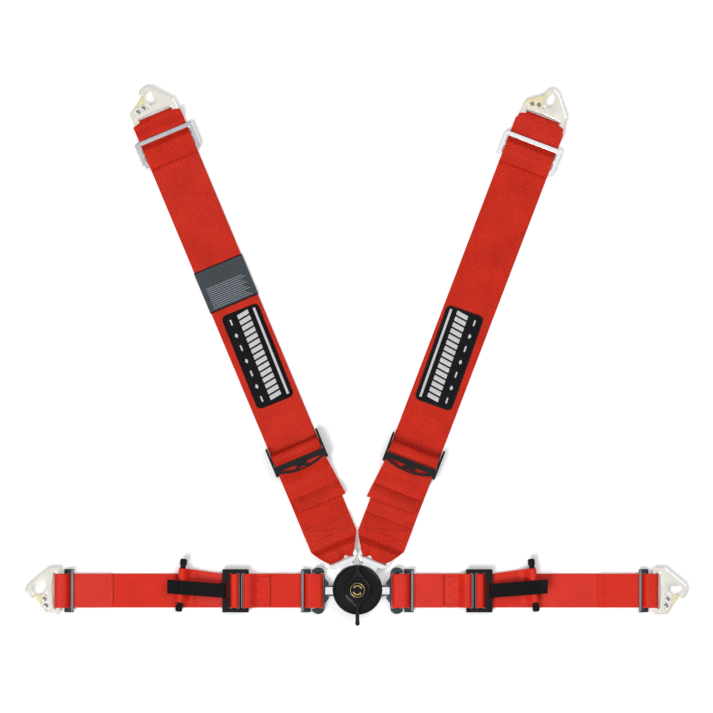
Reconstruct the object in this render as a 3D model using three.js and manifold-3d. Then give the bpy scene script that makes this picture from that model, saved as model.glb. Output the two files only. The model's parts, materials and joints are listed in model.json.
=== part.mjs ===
// A four-point racing harness lying flat: two shoulder belts and two lap belts meet in a
// rotary cam-lock buckle, and each belt ends in a flat snap hook.
// Millimetres. X runs to the right, Y runs up along the shoulder belts, Z points up.
// The origin is the centre of the buckle's back face.
import * as THREE from "three";
import { mergeVertices } from "three/addons/utils/BufferGeometryUtils.js";
import Module from "manifold-3d";

const wasm = await Module();
wasm.setup();

// ---- driving dimensions ----

const gap = 0.4;
const webThickness = 1.6;
const shoulderWeb = 76;
const lapWeb = 51;

// Height of the lowest webbing layer's middle, and of the layer that lies on it.
const layerOne = gap + webThickness / 2;
const layerTwo = layerOne + 1.9;

// Every plate that a webbing loop turns round has a bar this wide and thick, at this height.
const barWide = 6;
const plateThick = 2.6;
const loopInner = 3.7;
const loopRadius = loopInner + webThickness / 2;
const loopOuter = loopInner + webThickness;
const loopBend = loopRadius - 0.3;
const barHeight = gap + loopOuter;
const loopTop = barHeight + loopRadius;

const shoulderNeckAngle = 61.6;
const lapDrop = -2;

// Stations run outwards from the buckle's centre along each belt.
const shoulderBelts = {
  left: { mirror: -1, angle: 67.3, shift: -4.9, tail: 139, anchor: 204, slide: 703.5, hook: 769 },
  right: { mirror: 1, angle: 69.1, shift: -7.2, tail: 135, anchor: 197.2, slide: 682.5, hook: 755.5 },
};
const shoulderTongueBar = 54.8;
const lapBelts = {
  left: { mirror: -1, hook: 448.7, tail: 366.7 },
  right: { mirror: 1, hook: 445.4, tail: 360.6 },
};
const lapTongueBar = 59.3;

// ---- materials ----

const paint = (color, roughness, metalness) =>
  new THREE.MeshStandardMaterial({ color, roughness, metalness });
const finishes = {
  shoulderWebbing: () => paint(0xc92a1e, 0.85, 0),
  lapWebbing: () => paint(0xd6372a, 0.7, 0),
  blackPlastic: () => paint(0x141416, 0.35, 0),
  blackWebbing: () => paint(0x17171a, 0.85, 0),
  blackSteel: () => paint(0x1c1d20, 0.4, 0.7),
  gunmetal: () => paint(0x3a4348, 0.35, 0.8),
  chrome: () => paint(0xe4e6e8, 0.12, 1),
  zinc: () => paint(0xd9d6cf, 0.3, 0.9),
  springSteel: () => paint(0x9fa3a8, 0.35, 0.9),
  satinLabel: () => paint(0x8d9094, 0.5, 0),
};

// ---- shape helpers ----

const degrees = THREE.MathUtils.degToRad;
const bendStep = Math.PI / 6;

// Points along a line of corners [x, y, radius], each rounded to its radius.
function roundCorners(corners, closed) {
  const points = [];
  const count = corners.length;
  corners.forEach(([x, y, radius = 0], i) => {
    const here = new THREE.Vector2(x, y);
    const open = !closed && (i === 0 || i === count - 1);
    if (open || !radius) {
      points.push(here);
      return;
    }
    const [xa, ya] = corners[(i + count - 1) % count];
    const [xb, yb] = corners[(i + 1) % count];
    const back = new THREE.Vector2(xa, ya).sub(here).normalize();
    const on = new THREE.Vector2(xb, yb).sub(here).normalize();
    const turn = Math.PI - Math.acos(THREE.MathUtils.clamp(back.dot(on), -1, 1));
    const toCentre = back.clone().add(on).normalize().multiplyScalar(radius / Math.cos(turn / 2));
    const centre = here.clone().add(toCentre);
    const start = here.clone().addScaledVector(back, radius * Math.tan(turn / 2)).sub(centre);
    const side = Math.sign(on.cross(back));
    const steps = Math.max(1, Math.ceil(turn / bendStep));
    for (let k = 0; k <= steps; k += 1) {
      const spoke = start.clone().rotateAround(new THREE.Vector2(), (side * turn * k) / steps);
      points.push(spoke.add(centre));
    }
  });
  return points.filter((p, i) => i === 0 || p.distanceTo(points[i - 1]) > 1e-2);
}

const outline = (corners) => new THREE.Shape(roundCorners(corners, true));

// A flat plate between two heights.
function plate(shape, bottom, top) {
  const made = new THREE.ExtrudeGeometry(shape, {
    depth: top - bottom,
    bevelEnabled: false,
    curveSegments: 12,
  });
  return made.translate(0, 0, bottom);
}

// A side-view shape (station, height) given its width across the belt.
function acrossBelt(shape, from, to) {
  const made = new THREE.ExtrudeGeometry(shape, {
    depth: to - from,
    bevelEnabled: false,
    curveSegments: 6,
  });
  return made.rotateX(Math.PI / 2).translate(0, to, 0);
}

// Moves every vertex of a geometry by a rule on its position.
function warped(geometry, rule) {
  const position = geometry.getAttribute("position");
  const point = new THREE.Vector3();
  for (let i = 0; i < position.count; i += 1) {
    point.fromBufferAttribute(position, i);
    rule(point);
    position.setXYZ(i, point.x, point.y, point.z);
  }
  return geometry;
}

// Webbing with square edges: a box whose length follows a side-view line of corners.
function ribbon(corners, width, thickness = webThickness) {
  const line = roundCorners(corners, false);
  const count = line.length - 1;
  const along = (i) => line[i + 1].clone().sub(line[i]).normalize();
  const offsets = line.map((_, i) => {
    const before = along(Math.max(i - 1, 0));
    const mean = before.clone().add(along(Math.min(i, count - 1))).normalize();
    return new THREE.Vector2(-mean.y, mean.x).multiplyScalar(1 / mean.dot(before));
  });
  const box = new THREE.BoxGeometry(count, width, thickness, count, 1, 1);
  return warped(box, (p) => {
    const i = Math.round(p.x + count / 2);
    const lift = p.z;
    p.x = line[i].x + lift * offsets[i].x;
    p.z = line[i].y + lift * offsets[i].y;
  });
}

function turned(profile, segments = 30) {
  const points = [...profile, profile[0]].map(([r, z]) => new THREE.Vector2(r, z));
  return new THREE.LatheGeometry(points, segments).rotateX(Math.PI / 2);
}

function disc(radius, bottom, top, segments = 30) {
  return new THREE.CylinderGeometry(radius, radius, top - bottom, segments)
    .rotateX(Math.PI / 2)
    .translate(0, 0, (top + bottom) / 2);
}

function block(x0, x1, y0, y1, z0, z1) {
  return new THREE.BoxGeometry(x1 - x0, y1 - y0, z1 - z0)
    .translate((x0 + x1) / 2, (y0 + y1) / 2, (z0 + z1) / 2);
}

// A geometry that came out of geometryOf has no normals and already shares its vertices.
function solid(geometry) {
  const bare = geometry.clone();
  const shared = !bare.getAttribute("normal");
  bare.deleteAttribute("normal");
  bare.deleteAttribute("uv");
  const merged = shared ? bare : mergeVertices(bare, 1e-3);
  return new wasm.Manifold(
    new wasm.Mesh({
      numProp: 3,
      vertProperties: merged.getAttribute("position").array,
      triVerts: new Uint32Array(merged.index.array),
    }),
  );
}

function geometryOf(body) {
  const mesh = body.getMesh();
  return new THREE.BufferGeometry()
    .setAttribute("position", new THREE.BufferAttribute(new Float32Array(mesh.vertProperties), 3))
    .setIndex(new THREE.BufferAttribute(new Uint32Array(mesh.triVerts), 1));
}

const joined = (geometries) =>
  geometryOf(geometries.map(solid).reduce((whole, piece) => whole.add(piece)));
const cut = (geometry, tools) =>
  geometryOf(tools.map(solid).reduce((whole, tool) => whole.subtract(tool), solid(geometry)));

function part(group, name, geometry, material) {
  const mesh = new THREE.Mesh(geometry, material);
  mesh.name = name;
  group.add(mesh);
  return mesh;
}

const harness = new THREE.Group();

// ---- tongues ----

const neckBottom = barHeight - plateThick / 2;
const neckTop = barHeight + plateThick / 2;
const tongueTip = 17;
const latchWindow = { from: 21.2, to: 25.6, half: 4 };

// The neck runs inwards from its root to the tip, with the window for the latch tooth.
function neckGeometry(halfWidth, root, shoulder) {
  const neck = outline([
    [root, halfWidth],
    [shoulder, halfWidth, 2],
    [shoulder - 4, 7, 2],
    [tongueTip, 7, 2.5],
    [tongueTip, -7, 2.5],
    [shoulder - 4, -7, 2],
    [shoulder, -halfWidth, 2],
    [root, -halfWidth],
  ]);
  const window = block(latchWindow.from, latchWindow.to, -latchWindow.half, latchWindow.half, 0, 20);
  return cut(plate(neck, neckBottom, neckTop), [window]);
}

function strapSlot(bar, length, depth) {
  const inner = bar - barWide / 2;
  return plate(
    outline([
      [inner - depth, -length / 2, 1.5],
      [inner, -length / 2, 0.8],
      [inner, length / 2, 0.8],
      [inner - depth, length / 2, 1.5],
    ]),
    0,
    20,
  );
}

// The head sits square to the belt, so the neck is turned and shifted to point at the centre.
function shoulderTongue({ angle, shift }) {
  const bar = shoulderTongueBar;
  const head = outline([
    [bar + barWide / 2, 25.5, 3],
    [bar - 6, 25.5, 6],
    [41, 16, 5],
    [41, -16, 5],
    [bar - 6, -25.5, 6],
    [bar + barWide / 2, -25.5, 3],
  ]);
  const neck = neckGeometry(11.5, 46, 31)
    .rotateZ(degrees(shoulderNeckAngle - angle))
    .translate(0, -shift, 0);
  return cut(joined([plate(head, neckBottom, neckTop), neck]), [strapSlot(bar, 41.5, 3.8)]);
}

// The lap tongue's head has two rounded lobes and two small horns beside the neck.
function lapTongue() {
  const bar = lapTongueBar;
  const half = [
    [47.5, 8.2],
    [42.8, 9, 0.8],
    [43.4, 12.5, 2],
    [48.5, 18.5, 3],
    [50, 32.5, 8],
    [60, 36, 9],
    [69, 30.5, 3],
    [67.5, 26.6, 1.5],
    [bar + barWide / 2, 26.6, 1],
  ];
  const mirrored = half.map(([x, y, r]) => [x, -y, r]).reverse();
  const head = plate(outline([...half, ...mirrored]), neckBottom, neckTop);
  return cut(joined([head, neckGeometry(7.75, 49.5, 27)]), [strapSlot(bar, 53, 5.2)]);
}

// ---- hook, keeper and rivets ----

// The hook plate, with the middle of its bar at station 0 and its mouth on the -y side.
function hookPlate() {
  const body = outline([
    [-barWide / 2, 35.2, 2.5],
    [15.5, 34.8, 7],
    [46.5, 9.3, 6],
    [49.9, 0.5, 6],
    [47.5, -7.5, 4],
    [41.5, -11.6, 2.5],
    [34, -10.2],
    [20.5, -34.6, 4],
    [-barWide / 2, -35.4, 2.5],
  ]);
  const eye = outline([[20.9, -4.8, 5.7], [39.3, -4.8, 5.7], [39.3, 7, 5.7], [20.9, 7, 5.7]]);
  const mouth = outline([[25, 0, 2], [36, 0, 2], [37, -40], [25, -40]]);
  const slot = outline([
    [barWide / 2, -27.3, 1],
    [barWide / 2, 27.3, 1],
    [7.2, 27.3, 3],
    [9.4, 0, 40],
    [7.2, -27.3, 3],
  ]);
  const rivetHoles = rivetSpots.map(([x, y]) => disc(rivetHole, 0, 20, 10).translate(x, y, 0));
  const dimples = [[16.3, -28.1], [17.5, -5.9]].map(([x, y]) => disc(1.1, 0, 20, 6).translate(x, y, 0));
  const tools = [eye, mouth, slot].map((shape) => plate(shape, 0, 20));
  return cut(plate(body, neckBottom, neckTop), [...tools, ...rivetHoles, ...dimples]);
}

const rivetHole = 2.2;
const rivetSpots = [[19.9, -12.2], [17.6, -22]];
const keeperThick = 1.2;
const keeperTop = neckBottom - gap;

function keeperPlate() {
  const leaf = outline([
    [13.5, -30.5, 3],
    [20, -33.6, 2.5],
    [36.5, -9.6, 1.5],
    [41, -10, 2],
    [40, -5.4, 1.5],
    [15.5, -6.5, 3],
  ]);
  const holes = rivetSpots.map(([x, y]) => disc(rivetHole, 0, 20, 10).translate(x, y, 0));
  return cut(plate(leaf, keeperTop - keeperThick, keeperTop), holes);
}

function rivet([x, y]) {
  const shank = rivetHole - gap;
  const low = keeperTop - keeperThick - gap;
  const high = neckTop + gap;
  const profile = [
    [0, low - 0.9],
    [2.4, low - 0.9],
    [3.1, low],
    [shank, low],
    [shank, high],
    [3.1, high],
    [2.4, high + 1],
    [0, high + 1],
  ];
  return turned(profile, 10).translate(x, y, 0);
}

// A turned-over hook lies with its keeper on top and its mouth on the +y side.
function addHook(belt, name, station, turnedOver) {
  const group = new THREE.Group();
  group.position.set(station, 0, 0);
  if (turnedOver) {
    group.position.z = 2 * barHeight;
    group.rotation.x = Math.PI;
  }
  belt.add(group);
  part(group, `${name}_hook`, hookPlate(), finishes.zinc());
  part(group, `${name}_keeper`, keeperPlate(), finishes.zinc());
  rivetSpots.forEach((spot, i) =>
    part(group, `${name}_rivet_${i + 1}`, rivet(spot), finishes.zinc()),
  );
}

// ---- slides ----

const slideThick = 2.4;
const slideBottom = layerTwo + webThickness / 2 + gap;
const slideTop = slideBottom + slideThick;

// The three-bar slide of a shoulder belt: an open plate with two slots.
function threeBarSlide() {
  const body = outline([[0, -46.7, 5], [41, -46.7, 5], [41, 46.7, 5], [0, 46.7, 5]]);
  const slots = [[7, 17.5], [23, 34]].map(([from, to]) =>
    plate(outline([[from, -39.2, 1.5], [to, -39.2, 1.5], [to, 39.2, 1.5], [from, 39.2, 1.5]]), 0, 20),
  );
  return cut(plate(body, slideBottom, slideTop), slots);
}

// The two-bar slide of a lap belt: a low bar under the webbing at station 0, a bright bar on
// top of it further along, and a sloping cheek at each side.
const lapSlide = { length: 14.4, lowBar: 4.2, highBar: 4.6, halfWidth: 32.3, cheek: 26.2 };
function twoBarSlide() {
  const { length, lowBar, highBar, halfWidth, cheek } = lapSlide;
  const low = gap + 0.2;
  const side = outline([
    [0, low, 1],
    [lowBar, low, 0.6],
    [length, slideBottom - 0.4, 0.6],
    [length, slideTop, 1],
    [length - highBar, slideTop, 0.6],
    [0, low + slideThick, 1],
  ]);
  const lowShape = outline([[0, low, 1], [lowBar, low, 1], [lowBar, low + 2.2, 1], [0, low + 2.2, 1]]);
  const highShape = outline([
    [length - highBar, slideBottom, 1],
    [length, slideBottom, 1],
    [length, slideTop, 1],
    [length - highBar, slideTop, 1],
  ]);
  return joined([
    acrossBelt(side, cheek, halfWidth),
    acrossBelt(side, -halfWidth, -cheek),
    acrossBelt(lowShape, -cheek - 1, cheek + 1),
    acrossBelt(highShape, -cheek - 1, cheek + 1),
  ]);
}

// ---- shoulder belt ----

const gatherWidth = 38;

// The lower strap: a sewn loop on the tongue's bar and another on the adjuster's bar.
function lowerStrap({ anchor }) {
  const bar = shoulderTongueBar;
  const near = bar - loopRadius;
  const far = anchor + loopRadius;
  const line = [
    [112, layerTwo],
    [84, layerTwo],
    [77, layerTwo, 4],
    [68, loopTop, 4],
    [near, loopTop, loopBend],
    [near, layerOne, loopBend],
    [61, layerOne],
    [84, layerOne],
    [far, layerOne, loopBend],
    [far, loopTop, loopBend],
    [anchor - 4.5, loopTop, 4],
    [anchor - 16, layerTwo, 4],
    [anchor - 28, layerTwo],
  ];
  // The loop at the tongue is gathered to fit its slot.
  return warped(ribbon(line, shoulderWeb), (p) => {
    const spread = THREE.MathUtils.clamp((p.x - 60) / 24, 0, 1);
    p.y *= THREE.MathUtils.lerp(gatherWidth / shoulderWeb, 1, spread);
  });
}

const lockRadius = 6.2;
const rollRadius = lockRadius + gap + webThickness / 2;
const lockHeight = layerOne + lockRadius + gap + webThickness / 2 - 1.2;
const lockTravel = 1.5;
const adjusterInner = 39;
const adjusterOuter = 42;

// The upper strap runs from its folded pull end, over the lock bar and through the slide, to a
// loop on the hook's bar, and back through the slide.
function upperStrap({ tail, anchor, slide, hook }) {
  const end = hook + loopRadius;
  const lock = anchor + 22;
  const overBar = slideTop + gap + webThickness / 2;
  const overBoth = overBar + 1.9;
  const far = lock + rollRadius + lockTravel;
  const clearLoop = barHeight + loopOuter + gap + webThickness / 2;
  const line = [
    [slide + 4.5, layerTwo],
    [slide - 4.7, layerTwo, 2.25],
    [slide - 4.7, overBar, 2.25],
    [slide + 8.5, overBar, 3],
    [slide + 13, overBoth, 3],
    [slide + 25, overBoth, 2.2],
    [slide + 32.7, layerTwo, 2.2],
    [slide + 48, layerTwo, 4],
    [hook - 7, loopTop, 4],
    [end, loopTop, loopBend],
    [end, layerOne, loopBend],
    [hook - 4, layerOne],
    [hook - 9, layerOne],
    [slide + 31.7, layerOne, 2.2],
    [slide + 24, overBar, 2.2],
    [slide + 15.7, overBar, 2.2],
    [slide + 8, layerOne, 2.2],
    [far, layerOne, 2.5],
    [far, lockHeight + rollRadius, rollRadius - 0.3],
    [lock - 3, lockHeight + rollRadius, 4],
    [lock - 7, clearLoop, 3],
    [anchor - 5.2, clearLoop, 4],
    [anchor - 17, layerTwo + 1.95, 4],
    [anchor - 31, layerTwo + 1.95, 3],
    [anchor - 37, layerTwo + 0.2, 3],
    [tail + 1.1, layerTwo + 0.2, 1.1],
    [tail + 1.1, layerTwo + 2.4, 1.1],
    [tail + 21, layerTwo + 2.4],
  ];
  return warped(ribbon(line, shoulderWeb), (p) => {
    // The loop is narrowed to fit the hook's slot.
    const spread = THREE.MathUtils.smoothstep(hook - p.x, 3, 9);
    p.y *= THREE.MathUtils.lerp(52 / shoulderWeb, 1, spread);
    // The pull-tail drifts towards the inside of the V.
    p.y += 0.1 * Math.max(0, anchor - p.x);
  });
}

// The adjuster: two cheeks, the bar that holds the lower strap, the fixed clamp bar above the
// tail, and the bowed lip that is lifted to let the webbing out.
function shoulderAdjuster() {
  const clampBottom = barHeight + loopOuter + 2 * gap + webThickness + 0.2;
  const clampTop = clampBottom + 2.6;
  const cheek = outline([
    [-4, 3.2, 3],
    [6, 1.6, 3],
    [38, 1.6, 3],
    [44, 5, 3],
    [42, 9, 3],
    [30, clampTop, 5],
    [-2, clampTop, 3],
  ]);
  // The lock bar's ends slide in this slot.
  const track = outline([
    [22 - 2.9, lockHeight - 2.9, 2.8],
    [22 + 4.4, lockHeight - 2.9, 2.8],
    [22 + 4.4, lockHeight + 2.9, 2.8],
    [22 - 2.9, lockHeight + 2.9, 2.8],
  ]);
  cheek.holes.push(track);
  const bow = [];
  for (let i = 0; i <= 8; i += 1) {
    const y = adjusterInner + 1;
    const across = THREE.MathUtils.lerp(-y, y, i / 8);
    const bulge = 1 - (across / y) ** 2;
    bow.push([2 - 8.5 * bulge, across]);
  }
  const clamp = [[12, adjusterInner + 1], [12, -adjusterInner - 1]];
  const lip = plate(outline([...bow, ...clamp]), clampBottom, clampTop);
  // Two lens-shaped windows leave a short web at each side of the middle.
  const windows = [-1, 1].map((side) =>
    plate(
      outline([
        [2.6, side * 34, 1],
        [-2.2, side * 13, 2],
        [0.8, side * 6.5, 1],
        [3.4, side * 9, 1],
        [4, side * 31, 1],
      ]),
      0,
      40,
    ),
  );
  const arch = plate(outline([[-3.4, -10, 0.8], [-1.2, 0, 6], [-3.4, 10, 0.8], [-5, 0, 12]]), 0, 40);
  const bar = disc(3, -adjusterInner - 1, adjusterInner + 1, 10)
    .rotateX(Math.PI / 2)
    .translate(0, 0, barHeight);
  return joined([
    acrossBelt(cheek, adjusterInner, adjusterOuter),
    acrossBelt(cheek, -adjusterOuter, -adjusterInner),
    bar,
    cut(lip, [...windows, arch]),
  ]);
}

function lockBar(radius, stub, inside, outside, height) {
  return joined([disc(radius, -inside, inside, 14), disc(stub, -outside, outside, 8)])
    .rotateX(Math.PI / 2)
    .translate(0, 0, height);
}

function shoulderPatch() {
  const corner = 8;
  const shape = outline([
    [0, -29.5, corner],
    [150, -29.5, corner],
    [150, 29.5, corner],
    [0, 29.5, corner],
  ]);
  return plate(shape, 0, 0.9);
}

// The label wraps the top and both edges of the belt.
function edgeLabel() {
  const half = shoulderWeb / 2 + gap;
  const high = layerOne + webThickness / 2 + gap;
  const section = new THREE.Shape([
    [-half - 0.6, 0.5],
    [-half, 0.5],
    [-half, high],
    [half, high],
    [half, 0.5],
    [half + 0.6, 0.5],
    [half + 0.6, high + 0.6],
    [-half - 0.6, high + 0.6],
  ].map(([y, z]) => new THREE.Vector2(y, z)));
  return new THREE.ExtrudeGeometry(section, { depth: 65, bevelEnabled: false })
    .rotateX(Math.PI / 2)
    .rotateZ(Math.PI / 2);
}

Object.entries(shoulderBelts).forEach(([side, belt]) => {
  const flip = new THREE.Group();
  flip.scale.x = belt.mirror;
  const group = new THREE.Group();
  const angle = degrees(belt.angle);
  group.rotation.z = angle;
  group.position.set(-belt.shift * Math.sin(angle), belt.shift * Math.cos(angle), 0);
  harness.add(flip);
  flip.add(group);
  part(group, `shoulder_tongue_${side}`, shoulderTongue(belt), finishes.chrome());
  part(group, `lower_strap_${side}`, lowerStrap(belt), finishes.shoulderWebbing());
  part(group, `upper_strap_${side}`, upperStrap(belt), finishes.shoulderWebbing());
  const frame = part(group, `shoulder_adjuster_${side}`, shoulderAdjuster(), finishes.blackPlastic());
  frame.position.x = belt.anchor;
  const lock = lockBar(lockRadius, 2.4, adjusterInner - gap, adjusterOuter - 0.8, lockHeight);
  part(group, `shoulder_lock_bar_${side}`, lock, finishes.blackSteel()).position.x = belt.anchor + 22;
  const patch = part(group, `patch_${side}`, shoulderPatch(), finishes.blackWebbing());
  patch.position.set(belt.anchor + 101, 0.5, layerOne + webThickness / 2 + gap);
  patch.rotation.z = degrees(2.7);
  part(group, `shoulder_slide_${side}`, threeBarSlide(), finishes.chrome()).position.x = belt.slide;
  addHook(group, `shoulder_${side}`, belt.hook, side === "right");
  if (side === "left") {
    part(group, "label", edgeLabel(), finishes.satinLabel()).position.x = 466;
  }
});

// ---- lap belt ----

// A lap belt's adjuster, with stations measured from the middle of its inner bar.
const lapAnchor = 165.7;
const lapLock = 184.7;
const lapLockRadius = 3.6;
const lapRoll = lapLockRadius + gap + webThickness / 2;
const lapLockHeight = layerOne + lapRoll;
const lapCheek = 26.6;
const lapFrameHalf = 32.3;
const coverPlate = { from: 192, to: 202.4, bottom: 7.3, top: 9.5 };
const tabStrip = { from: 199, height: (coverPlate.bottom + coverPlate.top) / 2 };

function innerStrap() {
  const bar = lapTongueBar;
  const lowBar = lapInnerSlide;
  const near = bar - loopRadius;
  const over = gap + 0.2 + 2.2 + gap + webThickness / 2;
  const line = [
    [128.5, layerTwo],
    [lowBar + 9.4, layerTwo, 2],
    [lowBar + 4.4, over + 1.9, 2],
    [lowBar - 0.6, over + 1.9, 2],
    [bar + 3.6, loopTop, 2],
    [near, loopTop, loopBend],
    [near, layerOne, loopBend],
    [bar + 4.8, layerOne, 1.5],
    [lowBar - 0.6, over, 2],
    [lowBar + 4, over, 2],
    [lowBar + 8.9, layerOne, 2],
    [lapAnchor + loopRadius, layerOne, loopBend],
    [lapAnchor + loopRadius, loopTop, loopBend],
    [lapAnchor - 4, loopTop, 4],
    [lapAnchor - 15, layerTwo, 4],
    [131, layerTwo],
  ];
  return ribbon(line, lapWeb);
}

const lapInnerSlide = 70;
const pullBar = { station: 264, offset: 8.5, tilt: 5.8, length: 79.6, radius: 4.1 };
const sleeveRadius = pullBar.radius + gap + webThickness / 2;
const sleeveHeight = layerTwo + sleeveRadius;

function outerStrap({ hook, tail }) {
  const lowBar = hook - 9.2;
  const over = gap + 0.2 + 2.2 + gap + webThickness / 2;
  const near = lapLock - lapRoll - lockTravel;
  const rollTop = lapLockHeight + lapRoll;
  const sleeve = pullBar.station + sleeveRadius;
  const sleeveTop = sleeveHeight + sleeveRadius;
  const line = [
    [tail, layerTwo],
    [lowBar - 10, layerTwo, 2],
    [lowBar - 5, over + 1.9, 2],
    [lowBar + 0.4, over + 1.9, 2],
    [hook - 3.6, loopTop, 2],
    [hook + loopRadius, loopTop, loopBend],
    [hook + loopRadius, layerOne, loopBend],
    [hook - 4.8, layerOne, 1.5],
    [lowBar + 0.4, over, 2],
    [lowBar - 4.6, over, 2],
    [lowBar - 9.5, layerOne, 2],
    [near, layerOne, lapRoll - 0.3],
    [near, rollTop, lapRoll - 0.3],
    [lapLock + lapRoll, rollTop, lapRoll],
    [lapLock + lapRoll + 0.2, layerTwo, 1.6],
    [coverPlate.to + 1, layerTwo],
    [sleeve, layerTwo, sleeveRadius - 0.3],
    [sleeve, sleeveTop, sleeveRadius - 0.3],
    [sleeve - 8, sleeveTop, 3],
    [sleeve - 18, layerTwo + 1.9, 3],
    [sleeve - 27, layerTwo + 1.9],
  ];
  return warped(ribbon(line, lapWeb), (p) => {
    // The pull-tail lies on the long run and drifts to one side, so its sleeve turns with it.
    const onTail = p.z > layerTwo - webThickness / 2 - 0.1 && p.x < sleeve + 2;
    if (!onTail) return;
    const along = (p.x - coverPlate.to) / (pullBar.station - coverPlate.to);
    const drift = Math.max(0, along);
    p.x -= p.y * Math.tan(degrees(pullBar.tilt)) * Math.min(drift, 1);
    p.y += pullBar.offset * Math.min(drift, 1.2);
  });
}

// The frame's cheeks carry the inner bar, the middle bar and the cover plate. The release
// tab's loop passes through the slot in the cover plate.
function lapAdjuster() {
  const cheek = outline([
    [162.8, 2.8, 2.5],
    [coverPlate.to, 2.8, 2.5],
    [coverPlate.to, coverPlate.top, 2],
    [162.8, coverPlate.top, 3],
  ]);
  const track = outline([
    [lapLock - 4, lapLockHeight - 2.2, 2],
    [lapLock + 2.2, lapLockHeight - 2.2, 2],
    [lapLock + 2.2, lapLockHeight + 2.2, 2],
    [lapLock - 4, lapLockHeight + 2.2, 2],
  ]);
  cheek.holes.push(track);
  const innerBar = disc(3, -lapCheek - 1, lapCheek + 1, 10)
    .rotateX(Math.PI / 2)
    .translate(lapAnchor, 0, barHeight);
  const cover = plate(
    outline([
      [coverPlate.from, -lapCheek - 1],
      [coverPlate.to, -lapCheek - 1],
      [coverPlate.to, lapCheek + 1],
      [coverPlate.from, lapCheek + 1],
    ]),
    coverPlate.bottom,
    coverPlate.top,
  );
  const tabSlot = plate(
    outline([[195.2, -12, 1], [tabStrip.from, -12, 0.8], [tabStrip.from, 12, 0.8], [195.2, 12, 1]]),
    0,
    30,
  );
  return joined([
    acrossBelt(cheek, lapCheek, lapFrameHalf),
    acrossBelt(cheek, -lapFrameHalf, -lapCheek),
    innerBar,
    cut(cover, [tabSlot]),
  ]);
}

// The release tab: webbing looped on the cover plate's outer strip, with a folded free end.
function releaseTab() {
  const thickness = 1.3;
  const centre = (tabStrip.from + coverPlate.to) / 2;
  const bend = 2.2 + thickness / 2;
  const { height } = tabStrip;
  const clear = sleeveHeight + sleeveRadius + webThickness / 2 + 2 * gap + thickness / 2;
  const line = [
    [218, height + bend + 0.2],
    [209, height + bend - 1, 4],
    [centre + 4, height - bend, 2.5],
    [centre - bend, height - bend, bend],
    [centre - bend, height + bend, bend],
    [254, clear, 8],
    [284, clear, 1],
    [284, clear + 2, 1],
    [268, clear + 2],
  ];
  return warped(ribbon(line, 21, thickness), (p) => {
    p.y += 0.085 * Math.max(0, p.x - centre);
  });
}

function pullBarGeometry() {
  const { radius, length } = pullBar;
  const half = length / 2;
  const profile = [
    [0, -half],
    [4.4, -half],
    [5.2, -half + 1],
    [5.2, -half + 9],
    [radius, -half + 10],
    [radius, half - 10],
    [5.2, half - 9],
    [5.2, half - 1],
    [4.4, half],
    [0, half],
  ];
  return turned(profile, 12).rotateX(Math.PI / 2);
}

Object.entries(lapBelts).forEach(([side, belt]) => {
  const flip = new THREE.Group();
  flip.scale.x = belt.mirror;
  flip.position.y = lapDrop;
  harness.add(flip);
  part(flip, `lap_tongue_${side}`, lapTongue(), finishes.gunmetal());
  part(flip, `inner_strap_${side}`, innerStrap(), finishes.lapWebbing());
  const inner = part(flip, `inner_slide_${side}`, twoBarSlide(), finishes.chrome());
  inner.position.x = lapInnerSlide;
  part(flip, `lap_adjuster_${side}`, lapAdjuster(), finishes.blackSteel());
  const lock = lockBar(lapLockRadius, 1.8, lapCheek - gap, lapFrameHalf - 0.8, lapLockHeight);
  part(flip, `lap_lock_bar_${side}`, lock, finishes.blackSteel()).position.x = lapLock;
  part(flip, `release_tab_${side}`, releaseTab(), finishes.blackWebbing());
  part(flip, `outer_strap_${side}`, outerStrap(belt), finishes.lapWebbing());
  const bar = part(flip, `pull_bar_${side}`, pullBarGeometry(), finishes.blackPlastic());
  bar.position.set(pullBar.station, pullBar.offset, sleeveHeight);
  bar.rotation.z = degrees(pullBar.tilt);
  const outer = part(flip, `outer_slide_${side}`, twoBarSlide(), finishes.chrome());
  outer.scale.x = -1;
  outer.position.x = belt.hook - 9.2;
  addHook(flip, `lap_${side}`, belt.hook, false);
});

// ---- buckle ----

const tongueAngles = [0, shoulderNeckAngle, 180 - shoulderNeckAngle, 180];
const isLap = (angle) => angle % 180 === 0;
const channelHalf = (angle) => (isLap(angle) ? 7.75 : 11.5) + gap;

const buckle = {
  radius: 37.3,
  wall: 2.7,
  faceRadius: 34,
  backTop: 2.4,
  guideFloor: 4,
  guideTop: 9.8,
  guideRadius: 34,
  shaft: 4.5,
  foot: 2.2,
  faceBottom: 16.4,
  faceTop: 18.2,
  rimTop: 20,
};
const handleBottom = 20.6;
const handleTop = 26.2;
const armTop = 25;
const capRadius = 14.8;
const capSeat = 24;

// A radial channel from the middle outwards, turned to a tongue's direction.
function channel(angle, halfWidth, from, to, bottom, top) {
  const made = block(from, to, -halfWidth, halfWidth, bottom, top).rotateZ(degrees(angle));
  return made.translate(0, isLap(angle) ? lapDrop : 0, 0);
}

function backPlate() {
  const { radius, backTop } = buckle;
  const rim = radius - 0.7;
  return turned([[0, 0], [rim - 1, 0], [rim, 1], [rim, backTop], [0, backTop]], 40);
}

function tongueGuide() {
  const { backTop, guideFloor, guideTop, guideRadius, foot } = buckle;
  const body = disc(guideRadius, backTop + gap, guideTop, 40);
  const channels = tongueAngles.map((angle) =>
    channel(angle, channelHalf(angle), 0, 40, guideFloor, 20),
  );
  const middle = disc(15.5, guideFloor, 20, 20);
  const bore = disc(foot + gap, 0, 20, 10);
  return cut(body, [...channels, middle, bore]);
}

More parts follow.
